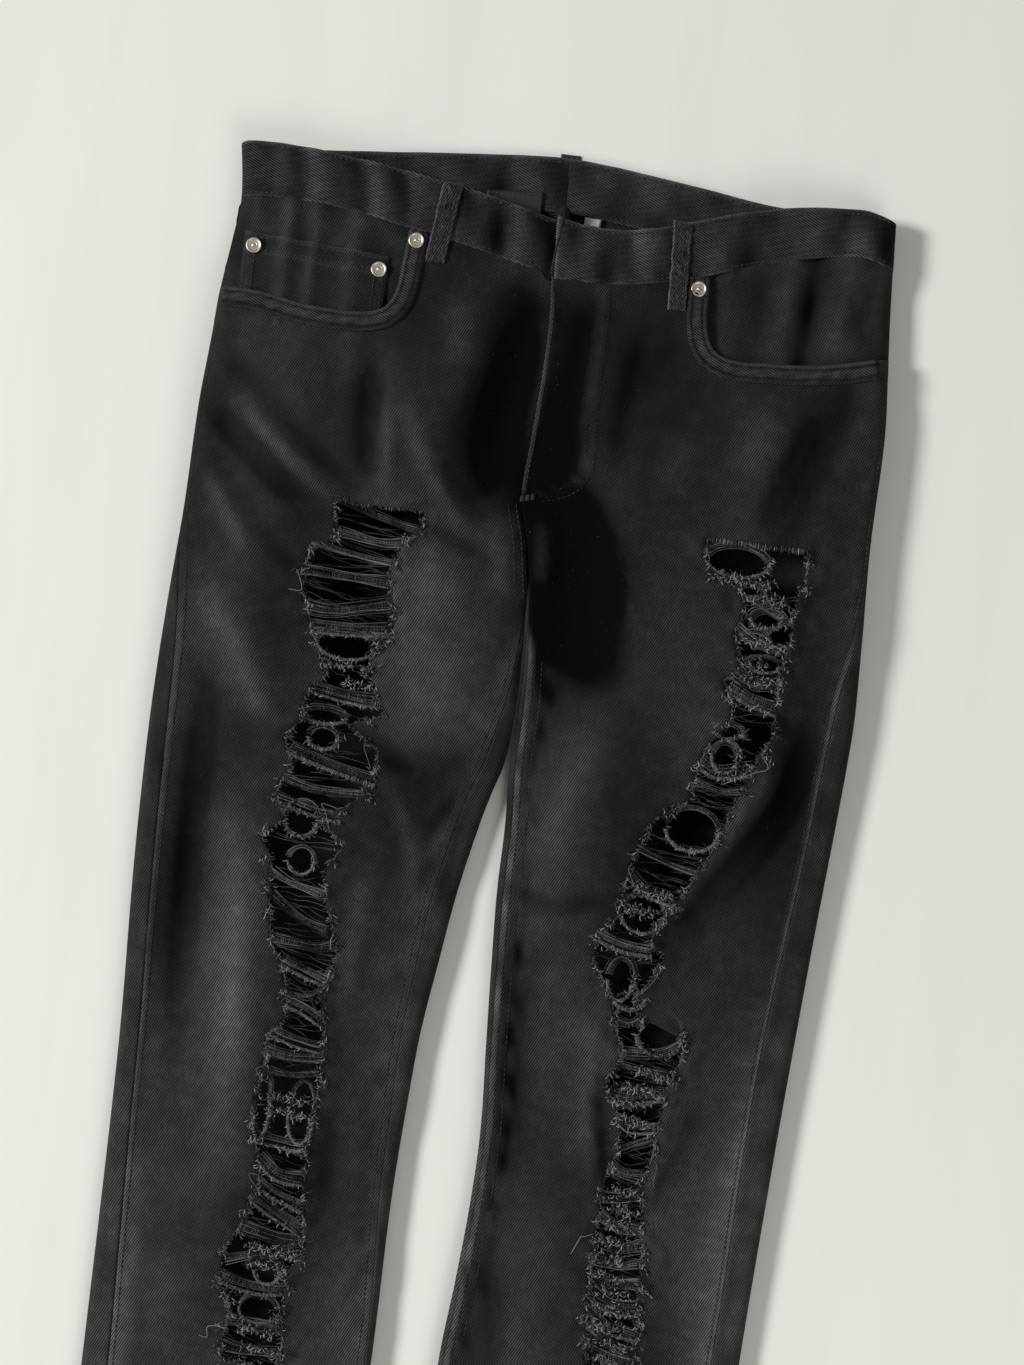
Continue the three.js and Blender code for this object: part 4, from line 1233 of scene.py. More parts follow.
def mouth_hem(side, name):
    """The folded and twice-stitched hem round a front pocket's mouth."""
    path = smooth_path(MOUTH[side], 1.5)
    path = path[(path[:, 1] > band_bottom_front[side](path[:, 0]) + 1) & (np.abs(path[:, 0]) < 213)]
    along = np.gradient(path, axis=0)
    along /= np.linalg.norm(along, axis=1, keepdims=True)
    inward = np.stack([along[:, 1], -along[:, 0]], -1) * -side
    across = (0, 0.4, 0.9, 1.6, 2.2, 2.6, 3.1, 4.2, 5.6, 7.2, 8.6, 9.2, 9.6, 10.1, 10.8, 11.4, HEM_WIDTH)
    across = np.array(across)
    place = path[:, None] + inward[:, None] * across[None, :, None]
    x, d = place[..., 0], place[..., 1]
    pucker = 0.22 * pucker_swell[side](x * 1.6, d * 1.6) * bell(across - 6, 5)
    pale_tone = 0.14 + 0.16 * bell(across - 0.9, 1.0) + 0.08 * bell(across - 6, 2.4) + 0.16 * pucker
    # Painted shade in the two grooves of the stitch rows.
    pale_tone = pale_tone - 0.1 * bell(across - HEM_ROWS[0], 0.7) - 0.1 * bell(across - HEM_ROWS[1], 0.8)
    grid = lay(side, x, d, hem_out(across) + pucker)
    finish = finish_named("denim_across")
    made = sheet_object("hem_mouth_" + name, grid, 0.8, finish, pale_tone, None, side == LEFT)
    return made


def pocket_facing(side, name):
    inner = -88 if side == LEFT else 90
    share = np.linspace(0, 1, 56) ** 1.4
    band_x = mix(outer_edge[side](40), inner, share)
    top = band_bottom_front[side](band_x) - 2
    depth = np.array([mix(top, 96, v) for v in np.linspace(0, 1, 34)])
    away = np.maximum(np.abs(band_x - outer_edge[side](40)), 0.5)
    x = outer_edge[side](depth) - side * away
    slack = 0.5 * small_swell[side](x + 30, depth) + 0.25 * pucker_swell[side](x, depth)
    slack = slack + upright_folds(POCKET_FOLDS[side], x, depth)
    under_band = (1 - step(depth - band_bottom_front[side](x), 2, 16)) * step(np.abs(x), 99, 112)
    out = mix(FACING_OUT, -0.6, under_band)
    z = form_height(side, x, depth) + out + slack * step(away, 6, 24)
    wear_and_shade = 0.11 + 0.03 * small_swell[side](x, depth + 50)
    # Paler on the fold ridges where worn, darker in the fold troughs as painted shade.
    wear_and_shade = wear_and_shade + 0.035 * upright_folds(POCKET_FOLDS[side], x, depth)
    finish = finish_named("pocket_cloth")
    grid = point(x, depth, z)
    made = sheet_object("cloth_facing_" + name, grid, 0.9, finish, wear_and_shade, None, side == RIGHT)
    return cloth_piece(
        made, ["pocket_facing_" + name], (0.142, 0.09), 0.85
    )


def coin_height(x, d):
    slack = 0.3 * small_swell[LEFT](x, d + 12)
    return form_height(LEFT, x, d) + COIN_OUT + slack + upright_folds(POCKET_FOLDS[LEFT], x, d)


def coin_pocket():
    place, u, v = slab_grid([(-204, 36), (-108, 42), (-109, 94), (-204, 86)], 30, 52)
    x, d = place[..., 0], place[..., 1]
    hem = 0.7 * (1 - step(v * 50, 11, 13)) - 0.35 * bell(v * 50 - 2.4, 0.9) - 0.35 * bell(v * 50 - 10, 0.9)
    turned = 0.5 * bell(np.minimum(u, 1 - u) * 95, 1.2)
    gather = 0.35 * bell(v * 50 - 8, 8) * pucker_swell[LEFT](x, d)
    z = coin_height(x, d) + hem + gather - turned
    wear_and_shade = 0.1 + 0.2 * bell(v * 50, 1.2) + 0.08 * bell(v * 50 - 12, 1.3)
    # Paler on the fold ridges where worn, darker in the fold troughs as painted shade.
    wear_and_shade = wear_and_shade + 0.03 * upright_folds(POCKET_FOLDS[LEFT], x, d)
    made = sheet_object("cloth_coin_pocket", point(x, d, z), 0.9, finish_named("pocket_cloth"), wear_and_shade)
    return cloth_piece(made, ["coin_pocket"], (0.095, 0.052))


# ---------- stitches ----------
def stitch_row(bundle, points, trim, wear_and_shade=0.2, proud=0.16):
    """Topstitches along a line of places in space."""
    pitch = (trim.stitch_length + trim.stitch_gap) / MM
    span = trim.stitch_length / MM
    line = smooth_line(points, 0.5)
    run = np.concatenate([[0], np.cumsum(np.linalg.norm(np.diff(line, axis=0), axis=1))])
    starts = np.arange(0.5, run[-1] - pitch, pitch)
    if not len(starts):
        return
    at = starts[:, None] + span * np.array([0, 0.16, 0.5, 0.84, 1])[None]
    paths = np.stack([np.interp(at, run, line[:, k]) for k in range(3)], -1)
    paths[..., 2] += np.array([-0.35, proud, proud + 0.08, proud, -0.35])
    shades = wear_and_shade + 0.05 * np.sin(starts * 12.9)
    bundle.add(paths, trim.thread_radius / MM, shades, 4, 0.7)


def smooth_line(points, spacing):
    run = np.concatenate([[0], np.cumsum(np.linalg.norm(np.diff(points, axis=0), axis=1))])
    at = np.linspace(0, run[-1], max(int(run[-1] / spacing), 2))
    return np.stack([np.interp(at, run, c) for c in points.T], -1)


def offset_path(path, away):
    """The same path moved sideways by `away`, to its left."""
    path = smooth_path(path, 2)
    along = np.gradient(path, axis=0)
    along /= np.linalg.norm(along, axis=1, keepdims=True)
    return path + away * np.stack([along[:, 1], -along[:, 0]], -1)


def stitch_front(side, name, trim):
    bundle = Bundle()
    sign = 1 if side == LEFT else -1
    for away in HEM_ROWS:
        path = offset_path(MOUTH[side], away * sign)
        path = path[(path[:, 1] > band_bottom_front[side](path[:, 0])) & (np.abs(path[:, 0]) < 212)]
        stitch_row(bundle, lay(side, path[:, 0], path[:, 1], float(hem_out(away)) + 0.15), trim, 0.3)
    d = np.arange(CROTCH + 40, HEM - 4, 3.0)
    rows = (3.2,) if side == LEFT else (2.8, 8.5)
    for away in rows:
        x = inseam_x(side, d) + side * away
        stitch_row(bundle, lay(side, x, d), trim, 0.1)
    d = np.arange(95, HEM - 4, 3.0)
    x = seam_x(side, d) - side * 3.0
    stitch_row(bundle, lay(side, x, d), trim, 0.14)
    d = np.arange(TACK + 4, CROTCH + 4, 2.0)
    for away in (-3.2, -8.5) if side == LEFT else ():
        stitch_row(bundle, lay(side, centre_front(d) + away, d), trim, 0.12)
    if side == RIGHT:
        for away in (0, 6.0):
            path = offset_path(J_STITCH, away)
            stitch_row(bundle, lay(side, path[:, 0], path[:, 1]), trim, 0.02, 0.06)
        d = np.arange(48, TACK - 6, 2.0)
        stitch_row(bundle, lay(side, centre_front(d) + 2.6, d), trim, 0.14)
        bar = smooth_path(((centre_front(TACK) - 1, TACK + 1), (centre_front(TACK) + 10, TACK - 2)), 1)
        for away in np.linspace(-1.6, 1.6, 8):
            stitch_row(bundle, lay(side, bar[:, 0], bar[:, 1] + away, 0.5), trim, 0.1)
    made = bundle.object("stitches_front_" + name, finish_named("thread"))
    return made


def stitch_band(side, name, trim):
    bundle = Bundle()
    x = np.linspace(outer_edge[side](10) - side * 6, centre_front(20) + side * 4, 90)
    for from_top, share in ((3.0, 0), (-2.6, 1)):
        d = (band_bottom_front if share else band_top_front)[side](x) + from_top
        z = form_height(side, x, d) + BAND_PROUD + band_ripples(side, x, d) - band_sink(side, x) - 0.3
        stitch_row(bundle, point(x, d, z), trim, 0.16, 0.2)
    # inside the back of the band
    x = np.linspace(outer_edge[side](10) - side * 14, side * 2.0, 90)
    inside = lift(np.array(0.0)) + bpy.context.scene.jeans_cloth.band_wall / MM
    for d in (band_top_back(x) + 3.0, band_bottom_back(x) - 2.6):
        stitch_row(bundle, point(x, d, inside + 0 * x), trim, 0.2, 0.25)
    made = bundle.object("stitches_waistband_" + name, finish_named("thread"))
    return made


def stitch_small(trim):
    """Topstitching of the coin pocket and the front belt loops."""
    bundle = Bundle()
    for v in (2.4, 10.0):
        x = np.linspace(-201, -111, 60)
        d = mix(36, 42, (x + 204) / 96) + v
        stitch_row(bundle, point(x, d, coin_height(x, d) + 0.45), trim)
    for edge in (-201.5, -111.5):
        for away in (0, 5.5):
            d = np.linspace(50, 84, 24)
            x = edge + (away if edge < -150 else -away) + 0 * d
            stitch_row(bundle, point(x, d, coin_height(x, d) + 0.1), trim)
    for side in (LEFT, RIGHT):
        size = FRONT_LOOPS[side]
        for away in (-0.28, 0.28):
            v = np.linspace(0.1, 0.92, 40)
            x = mix(size["top"][0], size["bottom"][0], v) + away * size["width"]
            d = mix(size["top"][1], size["bottom"][1], v)
            stitch_row(bundle, point(x, d, loop_height(side, x, d) + 2.15), trim, 0.2)
    made = bundle.object("stitches_small", finish_named("thread"))
    return made


# ---------- rivets and labels ----------
# Each rivet's side, x, d and how far it stands out from its cloth.
RIVETS = {
    "rivet_coin_left": (LEFT, -197, 45, 0.6),
    "rivet_coin_right": (LEFT, -114.5, 51, 0.6),
    "rivet_pocket_left": (LEFT, -92.5, 30, 1.5),
    "rivet_pocket_right": (RIGHT, 92.5, 39, 1.5),
}


# The cap's section: (radius, height), from its underside over the rim to the nub.
CAP_PROFILE = (
    (4.55, -0.3), (5.0, 0.2), (5.0, 0.85), (4.6, 1.2), (4.15, 1.15), (3.6, 0.85), (2.6, 0.8), (1.8, 0.75),
    (1.45, 0.45), (1.25, 1.0), (0.95, 1.45), (0.55, 1.62), (0.15, 1.66),
)


def rivet(node, side, x, d, out):
    """A dished cap with a rolled rim and a nub in its middle."""
    profile = smooth_path(CAP_PROFILE, 0.3)
    turn = np.linspace(0, 2 * math.pi, 48, endpoint=False)
    radius, height = profile.T
    ring_points = np.stack(
        [radius[:, None] * np.cos(turn), radius[:, None] * np.sin(turn), height[:, None] + 0 * turn], -1
    )
    if node.startswith("rivet_coin"):
        z = float(coin_height(np.array(x), np.array(d))) + out
    else:
        z = float(top_height(side, np.array(float(x)), np.array(float(d)))) + out
    points = ring_points.reshape(-1, 3) + np.array([x, WAIST_Y - d, z])
    n, m = len(profile), len(turn)
    index = np.arange(n * m).reshape(n, m)
    beside = np.roll(index, -1, axis=1)
    quads = np.stack([index[:-1], beside[:-1], beside[1:], index[1:]], -1).reshape(-1, 4)
    faces = [quads, index[:1, ::-1], index[-1:]]
    made = mesh_object(node.replace("rivet", "cap"), points, faces, finish_named("rivet_metal"))
    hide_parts(node)
    return made


def inside_label(name, node, corners, finish, n, m, thick, bulge):
    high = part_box(node)[1]
    place, u, v = slab_grid(corners, n, m)
    x, d = place[..., 0], place[..., 1]
    edge = np.minimum(np.minimum(u, 1 - u) * 37, np.minimum(v, 1 - v) * 36)
    z = high.z / MM + bulge * np.sin(math.pi * v) * np.sin(math.pi * u) - 0.35 * bell(edge, 0.7) + 0 * x
    wear_and_shade = 0.5 * bell(edge, 0.6) + 0 * x
    made = sheet_object(name, point(x, d, z), thick, finish_named(finish), wear_and_shade)
    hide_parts(node)
    return made


def patch_stitches(trim):
    bundle = Bundle()
    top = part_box("patch_label")[1].z / MM
    frame_line = np.array([(-50, -11), (-16.5, -14), (-15.5, 18), (-49, 20), (-50, -11)], float)
    line = smooth_line(np.column_stack([frame_line, frame_line[:, :1] * 0]), 0.5)
    stitch_row(bundle, point(line[:, 0], line[:, 1], top + 0 * line[:, 0]), trim, 0.3)
    made = bundle.object("stitches_patch", finish_named("thread"))
    return made


# ---------- the ladders of rips ----------
# Stretches of each ladder where the tufts lie thick: (from depth, to depth).
PILED = {
    LEFT: ((308, 324), (590, 612), (690, 712), (744, 786)),
    RIGHT: ((222, 240), (262, 292), (430, 450), (545, 585), (625, 786)),
}
# Places where nothing crosses a rip: (x, d, half width, half length).
HOLES = {
    LEFT: (
        (-105, 294, 18, 8), (-114, 342, 13, 4), (-113, 356, 9, 6), (-121, 410, 10, 9), (-118, 437, 8, 7),
        (-124, 598, 5, 17), (-98, 600, 8, 16), (-108, 705, 8, 7), (-110, 731, 12, 7),
    ),
    RIGHT: (
        (138, 211, 19, 8), (150, 229, 8, 3), (161, 246, 10, 4.5), (155, 258, 8, 3), (163, 275, 10, 4),
        (146, 320, 9, 4), (146, 337, 8, 8), (131, 386, 16, 11), (106, 444, 13, 10), (97, 488, 8, 11),
        (104, 502, 9, 4), (127, 521, 14, 11),
    ),
}


def in_hole(side, x, d, margin=1.0):
    inside = np.zeros(np.shape(x), bool)
    for hole_x, hole_d, half_width, half_length in HOLES[side]:
        away = ((x - hole_x) / (half_width * margin)) ** 2 + ((d - hole_d) / (half_length * margin)) ** 2
        inside |= away < 1
    return inside


def beside_path(path, steps, offsets):
    """Lines that run beside a path at the given offsets: x and d, each (lines, steps)."""
    line = smooth_path(path, 0.5)
    at = np.linspace(0, len(line) - 1, steps)
    line = np.stack([np.interp(at, np.arange(len(line)), c) for c in line.T], -1)
    along = np.gradient(line, axis=0)
    along /= np.maximum(np.linalg.norm(along, axis=1, keepdims=True), 1e-9)
    offsets = np.asarray(offsets, float)
    if offsets.ndim == 1:
        offsets = offsets[:, None]
    return line[:, 0] + along[:, 1] * offsets, line[:, 1] - along[:, 0] * offsets


def path_length(path):
    return float(np.hypot(*np.diff(np.array(path, float), axis=0).T).sum())


def band_of_yarns(bundle, side, path, width, count, rng):
    """Bare cross yarns side by side, bridging a rip and sagging a little into it."""
    wear_and_shade = 0.15
    sag = 1.8
    steps = max(int(path_length(path) / 3), 6)
    count = int(count * 1.7) + 1
    offsets = np.linspace(-0.5, 0.5, count) * width + rng.normal(0, 0.2, count)
    t = np.linspace(0, 1, steps)
    wave = 0
    for k in (1, 2, 4):
        high = rng.normal(0, 0.42 / k, (count, 1))
        wave = wave + high * np.sin(k * math.pi * t + rng.uniform(0, 6, (count, 1)))
    x, d = beside_path(path, steps, offsets[:, None] * (1 - 0.25 * np.sin(math.pi * t)) + wave)
    depth = rng.uniform(0.2, 1, (count, 1)) * sag * np.sin(math.pi * t)
    z = top_height(side, x, d) - 0.1 - depth + rng.normal(0, 0.25, (count, 1))
    thick = rng.uniform(0.22, 0.38, count)
    bundle.add(point(x, d, z), thick, rng.uniform(0.1, 1.0, count) ** 2.4 * 3.6 * wear_and_shade)


def comb(bundle, side, path, width, rng, wear_and_shade, spacing=0.58, high=0.5):
    """Short yarns that wrap across a frayed edge, one beside the other."""
    count = max(int(path_length(path) / spacing), 4)
    x, d = beside_path(path, count, np.linspace(-0.5, 0.5, 5) * width)
    x, d = x.T, d.T
    reach = rng.uniform(0.55, 1.25, (count, 1))
    middle_x, middle_d = x[:, 2:3], d[:, 2:3]
    lean = rng.normal(0.5, 0.5, (count, 1)) * np.linspace(-0.5, 1, 5)
    x = middle_x + (x - middle_x) * reach + rng.normal(0, 0.25, (count, 1))
    d = middle_d + (d - middle_d) * reach + lean + rng.normal(0, 0.25, (count, 1))
    arch = np.array([-0.4, 0.72, 1, 0.75, -0.1]) * width * high
    z = top_height(side, x[:, 2:3], d[:, 2:3]) + arch * rng.uniform(0.6, 1.15, (count, 1)) - 0.4
    thick = rng.uniform(0.2, 0.33, count)
    bundle.add(point(x, d, z), thick, wear_and_shade * (0.06 + 2.9 * rng.random(count) ** 3.2), 3)


def rope(yarns, tufts, side, path, width, rng):
    """A frayed edge that has rolled into a rope: twisted yarns inside, wrapped by short ends."""
    wear_and_shade = 0.5
    steps = max(int(path_length(path) / 1.8), 8)
    count = 5
    t = np.linspace(0, 1, steps)
    turn = 2 * math.pi * (np.arange(count)[:, None] / count + t * path_length(path) / 16)
    core = width * 0.22
    x, d = beside_path(path, steps, core * np.cos(turn))
    z = top_height(side, x, d) + core * (0.6 + np.sin(turn)) * 0.8
    yarns.add(point(x, d, z), 0.32, wear_and_shade * rng.uniform(0.4, 0.9, count))
    comb(tufts, side, path, width * 0.95, rng, wear_and_shade)
    tuft(tufts, side, path, width * 0.9, rng, wear_and_shade * 0.9, 0.5)


def tuft(bundle, side, path, width, rng, wear_and_shade=0.35, density=1.0, high=0.9):
    """Curled ends of yarn, thick on the ground and mostly lying down the leg."""
    span = path_length(path)
    count = max(int(density * (span * width + 0.7 * width**2) * 0.56), 5)
    line = smooth_path(path, 0.5)
    root = line[rng.integers(0, len(line), count)] + rng.normal(0, 0.27, (count, 2)) * width
    heading = rng.normal(math.pi / 2, 0.85, count)
    length = rng.uniform(1.6, 4.4, count)
    curl = rng.uniform(-2.4, 2.4, count)
    t = np.linspace(0, 1, 4)
    bearing = heading[:, None] + curl[:, None] * t
    stride = (length / 3)[:, None]
    half = length[:, None] * 0.5
    x = root[:, :1] + np.cumsum(np.cos(bearing) * stride, axis=1) - np.cos(bearing[:, :1]) * half
    d = root[:, 1:] + np.cumsum(np.sin(bearing) * stride, axis=1) - np.sin(bearing[:, :1]) * half
    base = top_height(side, root[:, 0], root[:, 1])[:, None]
    pile = high * rng.uniform(-0.5, 1.6, (count, 1))
    arch = rng.uniform(0.1, 1.1, (count, 1)) * np.sin(math.pi * t) + rng.normal(0, 0.3, (count, 1)) * t
    # Tufts piled higher are paler and lower ones darker: painted light and shade.
    level = wear_and_shade * rng.uniform(0.1, 1.0, count) ** 3.2 * 3.9 * np.clip(0.5 + 0.6 * pile[:, 0], 0.1, 1.6)
    bundle.add(point(x, d, base + pile + arch), rng.uniform(0.21, 0.37, count), level, 3)


def loose_yarn(bundle, side, path, rng):
    """One long yarn that has come away and curls over the cloth."""
    x, d = beside_path(path, 18, [0.0])
    t = np.linspace(0, 1, 18)
    z = top_height(side, x, d) + 0.4 + 1.2 * np.sin(math.pi * t)
    bundle.add(point(x, d, z), 0.27, 0.5 * rng.uniform(0.6, 1.2))


def edge_fringe(bundle, side, rng):
    """Short ends of yarn all along both edges of the ladder."""
    for edge, inward in zip(LADDER[side], (-side, side)):
        line = smooth_line(np.array([(x, d) for d, x in edge], float), 0.78)
        line = line[~in_hole(side, line[:, 0], line[:, 1], 0.8)]
        count = len(line)
        heading = rng.normal(0, 0.8, count) + (0 if inward > 0 else math.pi) + 0.5 * inward
        length = rng.uniform(1.2, 4.0, count)
        t = np.linspace(-0.35, 1, 4)
        bend = heading[:, None] + rng.uniform(-1.2, 1.2, (count, 1)) * t
        x = line[:, :1] + np.cos(bend) * length[:, None] * t
        d = line[:, 1:] + np.sin(bend) * length[:, None] * t
        z = top_height(side, line[:, 0], line[:, 1])[:, None] + 0.25 + rng.uniform(-0.8, 0.9, (count, 1)) * t
        bundle.add(point(x, d, z), rng.uniform(0.17, 0.28, count), 0.7 * rng.random(count) ** 2.2, 3)


def top_fringe(bundle, side, rng):
    """Short yarn ends over the cut at the top of the ladder."""
    outer, inner = (float(x) for x in ladder_edges(side, LADDER_TOP[side]))
    top = LADDER_TOP[side]
    path = ((outer, top), ((outer + inner) / 2, top + 0.6), (inner, top + 0.2))
    comb(bundle, side, path, 3.2, rng, 0.25, 0.5, 0.2)


def cross_yarns(bundle, side, rng):
    """Yarns deeper in the rips, coloured near black as painted shade, wherever there is no open hole."""
    for d0 in np.arange(LADDER_TOP[side] + 1.5, LADDER_END - 1, 1.7):
        outer, inner = ladder_edges(side, d0)
        a, b = sorted((float(outer), float(inner)))
        drop = rng.normal(3.0, 3.5)
        middle = ((a + b) / 2 + rng.normal(0, 4), d0 + rng.uniform(0, 3))
        path = ((a - 1, d0 - drop), middle, (b + 1, d0 + drop))
        x, d = beside_path(path, 9, [0.0])
        x = np.clip(x, a - 2, b + 2)
        d = d + np.cumsum(rng.normal(0, 0.8, 9))
        if in_hole(side, x, d).any():
            continue
        sag = rng.uniform(0.8, 3.0) * np.sin(math.pi * np.linspace(0, 1, 9))
        z = top_height(side, x, d) - 0.6 - sag
        first, last = sorted(rng.choice(10, 2, replace=False)) if rng.random() < 0.55 else (0, 9)
        if last - first < 3:
            continue
        bundle.add(point(x, d, z)[:, first:last], rng.uniform(0.2, 0.3), rng.uniform(0.0, 0.07))


def plain_path(points):
    """Points as nested tuples, the form in which smooth_path keeps its results."""
    return tuple(tuple(float(v) for v in place) for place in points)


def rim(hole, start, end):
    """Part of an open hole's rim, from one turn to another, a little outside it."""
    x, d, half_width, half_length = hole
    turns = np.linspace(start, end, 6)
    x = x + 1.1 * half_width * np.cos(turns)
    d = d + 1.3 * half_length * np.sin(turns)
    return plain_path(np.stack([x, d], -1))


def strand_places(side, rng):
    """Where one ladder's bands, ropes, tufts and piles lie, from its edges and open holes."""
    bands, ropes, tufts, piles = [], [], [], []
    for hole in HOLES[side]:
        lean = rng.uniform(-0.25, 0.25)
        ropes.append((rim(hole, 0.98 * math.pi + lean, 0.02 * math.pi + lean), rng.uniform(2.6, 4.4)))
        bands.append((rim(hole, 1.05 * math.pi, 1.95 * math.pi), rng.uniform(3, 6), 4))
        corner = rim(hole, 0.1 * math.pi, -0.1 * math.pi)
        tufts.append((corner, rng.uniform(4, 7)))
    d = LADDER_TOP[side] + 5
    while d < LADDER_END - 6:
        outer, inner = ladder_edges(side, d)
        a, b = sorted((float(outer), float(inner)))
        drop = rng.normal(2.5, 3.5)
        middle = (mix(a, b, rng.uniform(0.35, 0.65)), d + rng.uniform(0, 5))
        path = np.array([(a, d - drop), middle, (b, d + drop)])
        if not in_hole(side, path[:, 0], path[:, 1], 1.1).any():
            bands.append((plain_path(path), rng.uniform(4, 10), int(rng.integers(4, 9))))
            if rng.random() < 0.3:
                ropes.append((plain_path(path + (0, 5)), rng.uniform(2.5, 4.5)))
        for x in (a, b):
            end = (x + rng.normal(0, 2.5), d + rng.uniform(2, 7))
            tufts.append((((x, d - 1), end), rng.uniform(3, 7)))
        d += rng.uniform(11, 19)
    for start, end in PILED[side]:
        for d in np.arange(start, end, 11.0):
            outer, inner = ladder_edges(side, d)
            place = mix(float(outer), float(inner), rng.uniform(0.3, 0.7))
            half = 0.3 * abs(float(outer - inner))
            piles.append((((place - half, d), (place + half, d + rng.uniform(0, 5))), rng.uniform(5.5, 8)))
    return bands, ropes, tufts, piles


def ladder(side, name):
    """All the yarns of one leg's ladder of rips, as two pieces: long yarns, and tufts."""
    rng = np.random.default_rng(71 + side)
    yarns = Bundle()
    tufts = Bundle()
    cross_yarns(yarns, side, rng)
    bands, ropes, ends, piles = strand_places(side, rng)
    for path, width, count in bands:
        band_of_yarns(yarns, side, path, width, count, rng)
        comb(tufts, side, path, width * 0.7, rng, 0.16, 1.6, 0.16)
    for path, width in ropes:
        rope(yarns, tufts, side, path, width, rng)
    for path, width in ends:
        tuft(tufts, side, path, width, rng)
    for path, width in piles:
        tuft(tufts, side, path, width, rng, 0.5, 1.05, 1.3)
    for _ in range(7):
        d = rng.uniform(LADDER_TOP[side] + 10, LADDER_END - 30)
        x = float(ladder_edges(side, d)[int(rng.integers(0, 2))])
        route = np.cumsum([(x, d), *rng.normal((0, 5), 5, (3, 2))], axis=0)
        loose_yarn(yarns, side, plain_path(route), rng)
    edge_fringe(tufts, side, rng)
    top_fringe(tufts, side, rng)
    for bundle, kind in ((yarns, "rip_yarns_"), (tufts, "rip_tufts_")):
        made = bundle.object(kind + name, finish_named("frayed_yarn"))


# ---------- operators ----------
class JEANS_OT_fronts(bpy.types.Operator):
    """Sew the two front panels, with their pocket mouths, fly and ladders of rips"""

    bl_idname = "jeans.fronts"
    bl_label = "Front panels"

    def execute(self, context):
        for side, name in SIDES:
            front_panel(side, name, context.scene.jeans_cloth)
        return {"FINISHED"}


class JEANS_OT_backs(bpy.types.Operator):
    """Sew the back panels, the yokes and the back pockets"""

    bl_idname = "jeans.backs"
    bl_label = "Back panels"

    def execute(self, context):
        for side, name in SIDES:
            back_panel(side, name, context.scene.jeans_cloth)
            yoke(side, name, context.scene.jeans_cloth)
            back_pocket(side, name)
        return {"FINISHED"}


class JEANS_OT_waist(bpy.types.Operator):
    """Sew the waistband and its five belt loops"""

    bl_idname = "jeans.waist"
    bl_label = "Waistband"

    def execute(self, context):
        for side, name in SIDES:
            waistband(side, name, context.scene.jeans_cloth)
            front_loop(side, name)
            top = float(band_top_back(142.0 * side)) - 1
            names = ("cloth_loop_back_" + name, "belt_loop_back_" + name)
            back_loop(142 * side, top, top + LOOP_LENGTH, 12, *names)
        back_loop(0, -43.8, 13, 13, "cloth_loop_centre_back", "belt_loop_centre_back")
        return {"FINISHED"}


class JEANS_OT_pockets(bpy.types.Operator):
    """Sew the cloth inside the pocket mouths and the coin pocket"""

    bl_idname = "jeans.pockets"
    bl_label = "Pockets"

    def execute(self, context):
        for side, name in SIDES:
            pocket_facing(side, name)
        coin_pocket()
        return {"FINISHED"}


class JEANS_OT_rips(bpy.types.Operator):
    """Fray the ladders of rips with bridging yarns, ropes, tufts and loose ends"""

    bl_idname = "jeans.rips"
    bl_label = "Rips"

    def execute(self, context):
        for side, name in SIDES:
            ladder(side, name)
        return {"FINISHED"}


class JEANS_OT_stitches(bpy.types.Operator):
    """Topstitch the seams, hems and pockets"""

    bl_idname = "jeans.stitches"
    bl_label = "Topstitching"

    def execute(self, context):
        trim = context.scene.jeans_trim
        for side, name in SIDES:
            stitch_front(side, name, trim)
            stitch_band(side, name, trim)
        stitch_small(trim)
        return {"FINISHED"}


class JEANS_OT_trim(bpy.types.Operator):
    """Set the rivets, the leather patch and the small ribbon"""

    bl_idname = "jeans.trim"
    bl_label = "Rivets and labels"

    def execute(self, context):
        for node, (side, x, d, out) in RIVETS.items():
            rivet(node, side, x, d, out)
        patch = ((-52, -13), (-15, -16), (-14, 20), (-51, 22))
        inside_label("leather_patch", "patch_label", patch, "patch_leather", 30, 30, 1.0, 0.5)
        patch_stitches(context.scene.jeans_trim)
        tape = ((14, -3), (25, -2.5), (24, 14), (13, 13.5))
        inside_label("ribbon_loop", "care_label", tape, "label_ribbon", 20, 12, 0.7, 1.2)
        return {"FINISHED"}


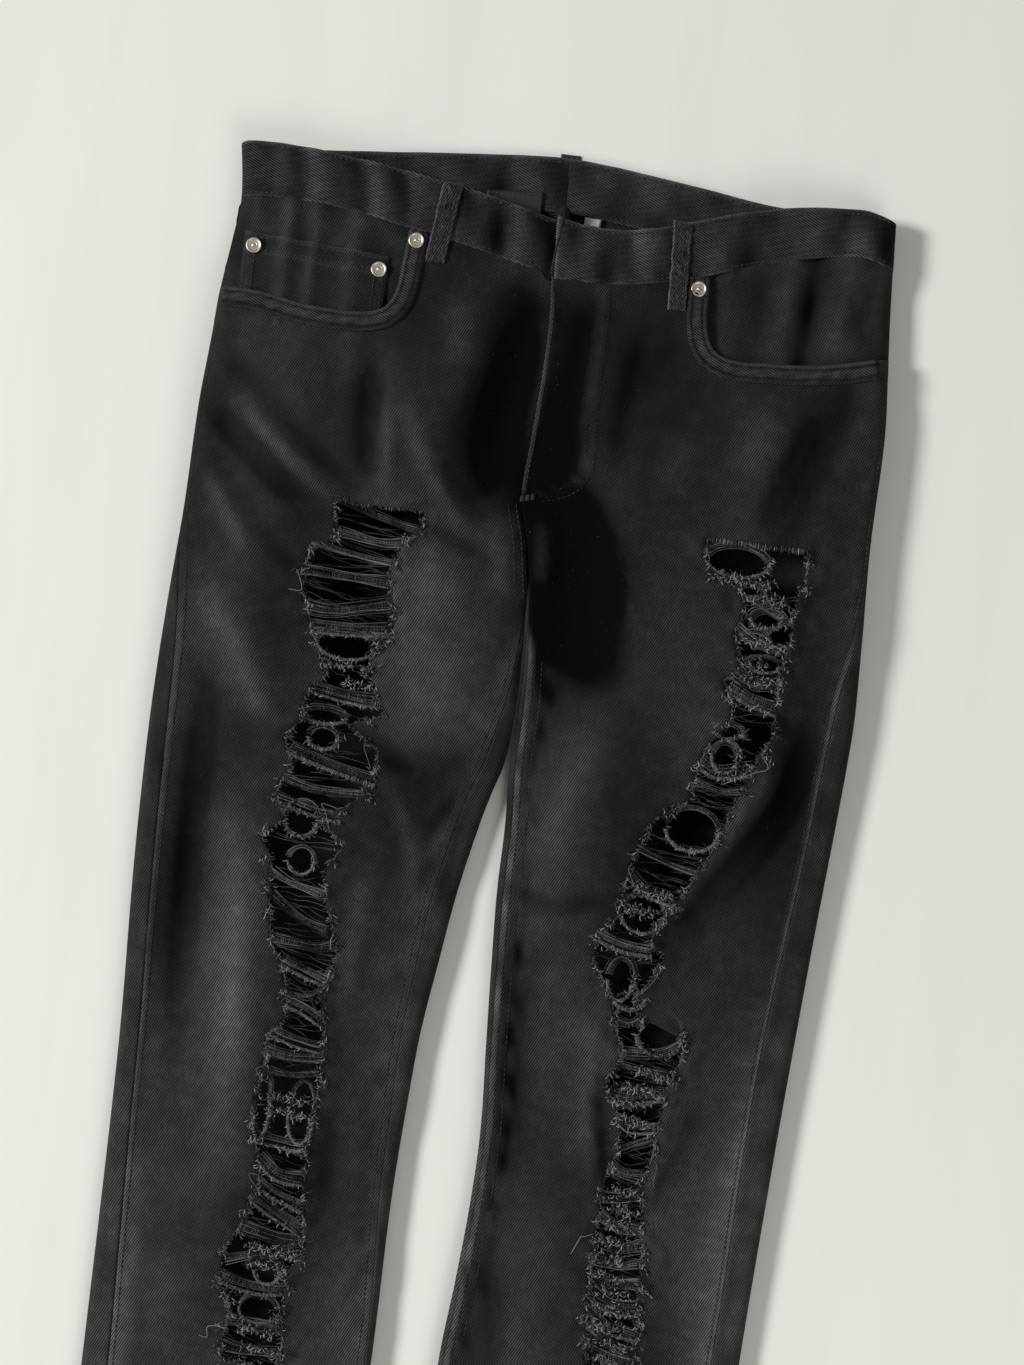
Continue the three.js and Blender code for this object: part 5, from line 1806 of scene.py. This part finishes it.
class JEANS_OT_stage(bpy.types.Operator):
    """Set the pale floor, the soft light and the camera straight above"""

    bl_idname = "jeans.stage"
    bl_label = "Stage"

    def execute(self, context):
        stage = context.scene.jeans_stage
        size = 6000.0
        corners = [(-size, -size), (size, -size), (size, size), (-size, size)]
        corners = np.array([(x, y, FLOOR_Z) for x, y in corners])
        paint = floor_paint("floor", opaque(stage.floor_colour))
        floor = mesh_object("floor", corners, [np.array([[0, 1, 2, 3]])], paint)
        soft_light("window", (-4.7, 0.5, 3.3), (0.0, 0.1, 0.0), 1.3, 332)
        soft_light("room", (1.5, -1.9, 2.2), (0.0, 0.0, 0.0), 2.0, 35)
        world = bpy.data.worlds.new("room")
        world.use_nodes = True
        world.node_tree.nodes["Background"].inputs["Color"].default_value = (1.0, 0.95, 0.86, 1)
        world.node_tree.nodes["Background"].inputs["Strength"].default_value = 0.22
        context.scene.world = world
        context.scene.view_settings.view_transform = "Standard"
        lens = bpy.data.cameras.new("camera")
        lens.lens = 50
        lens.sensor_width = 36
        camera = bpy.data.objects.new("camera", lens)
        camera.location = (0.0036, 0.194, stage.camera_height)
        camera.rotation_euler = (0, 0, stage.turn)
        context.scene.collection.objects.link(camera)
        context.scene.camera = camera
        return {"FINISHED"}


def soft_light(name, place, target, size, watts):
    lamp = bpy.data.lights.new(name, "AREA")
    lamp.shape = "DISK"
    lamp.size = size
    lamp.energy = watts
    made = bpy.data.objects.new(name, lamp)
    made.location = place
    aim = np.array(target) - np.array(place)
    flat = math.hypot(aim[0], aim[1])
    made.rotation_euler = (math.atan2(flat, -aim[2]), 0, math.atan2(aim[1], aim[0]) - math.pi / 2)
    bpy.context.scene.collection.objects.link(made)
    return made


OPERATORS = (
    JEANS_OT_fronts, JEANS_OT_backs, JEANS_OT_waist, JEANS_OT_pockets, JEANS_OT_rips, JEANS_OT_stitches,
    JEANS_OT_trim, JEANS_OT_stage,
)
SETTINGS = (("jeans_cloth", JeansCloth), ("jeans_trim", JeansTrim), ("jeans_stage", JeansStage))


class JEANS_PT_panel(bpy.types.Panel):
    """Lists the pieces of the jeans and their settings"""

    bl_label = "Ripped Jeans"
    bl_idname = "JEANS_PT_panel"
    bl_space_type = "VIEW_3D"
    bl_region_type = "UI"
    bl_category = "Jeans"

    def draw(self, context):
        for operator in OPERATORS:
            self.layout.operator(operator.bl_idname)
        for name, group in SETTINGS:
            for setting in group.__annotations__:
                self.layout.prop(getattr(context.scene, name), setting)


def register():
    for name, group in SETTINGS:
        bpy.utils.register_class(group)
        setattr(bpy.types.Scene, name, bpy.props.PointerProperty(type=group))
    for made in (*OPERATORS, JEANS_PT_panel):
        bpy.utils.register_class(made)


def unregister():
    for made in (JEANS_PT_panel, *reversed(OPERATORS)):
        bpy.utils.unregister_class(made)
    for name, group in reversed(SETTINGS):
        delattr(bpy.types.Scene, name)
        bpy.utils.unregister_class(group)


def main():
    register()
    for operator in OPERATORS:
        group, name = operator.bl_idname.split(".")
        getattr(getattr(bpy.ops, group), name)()


if __name__ == "__main__":
    main()
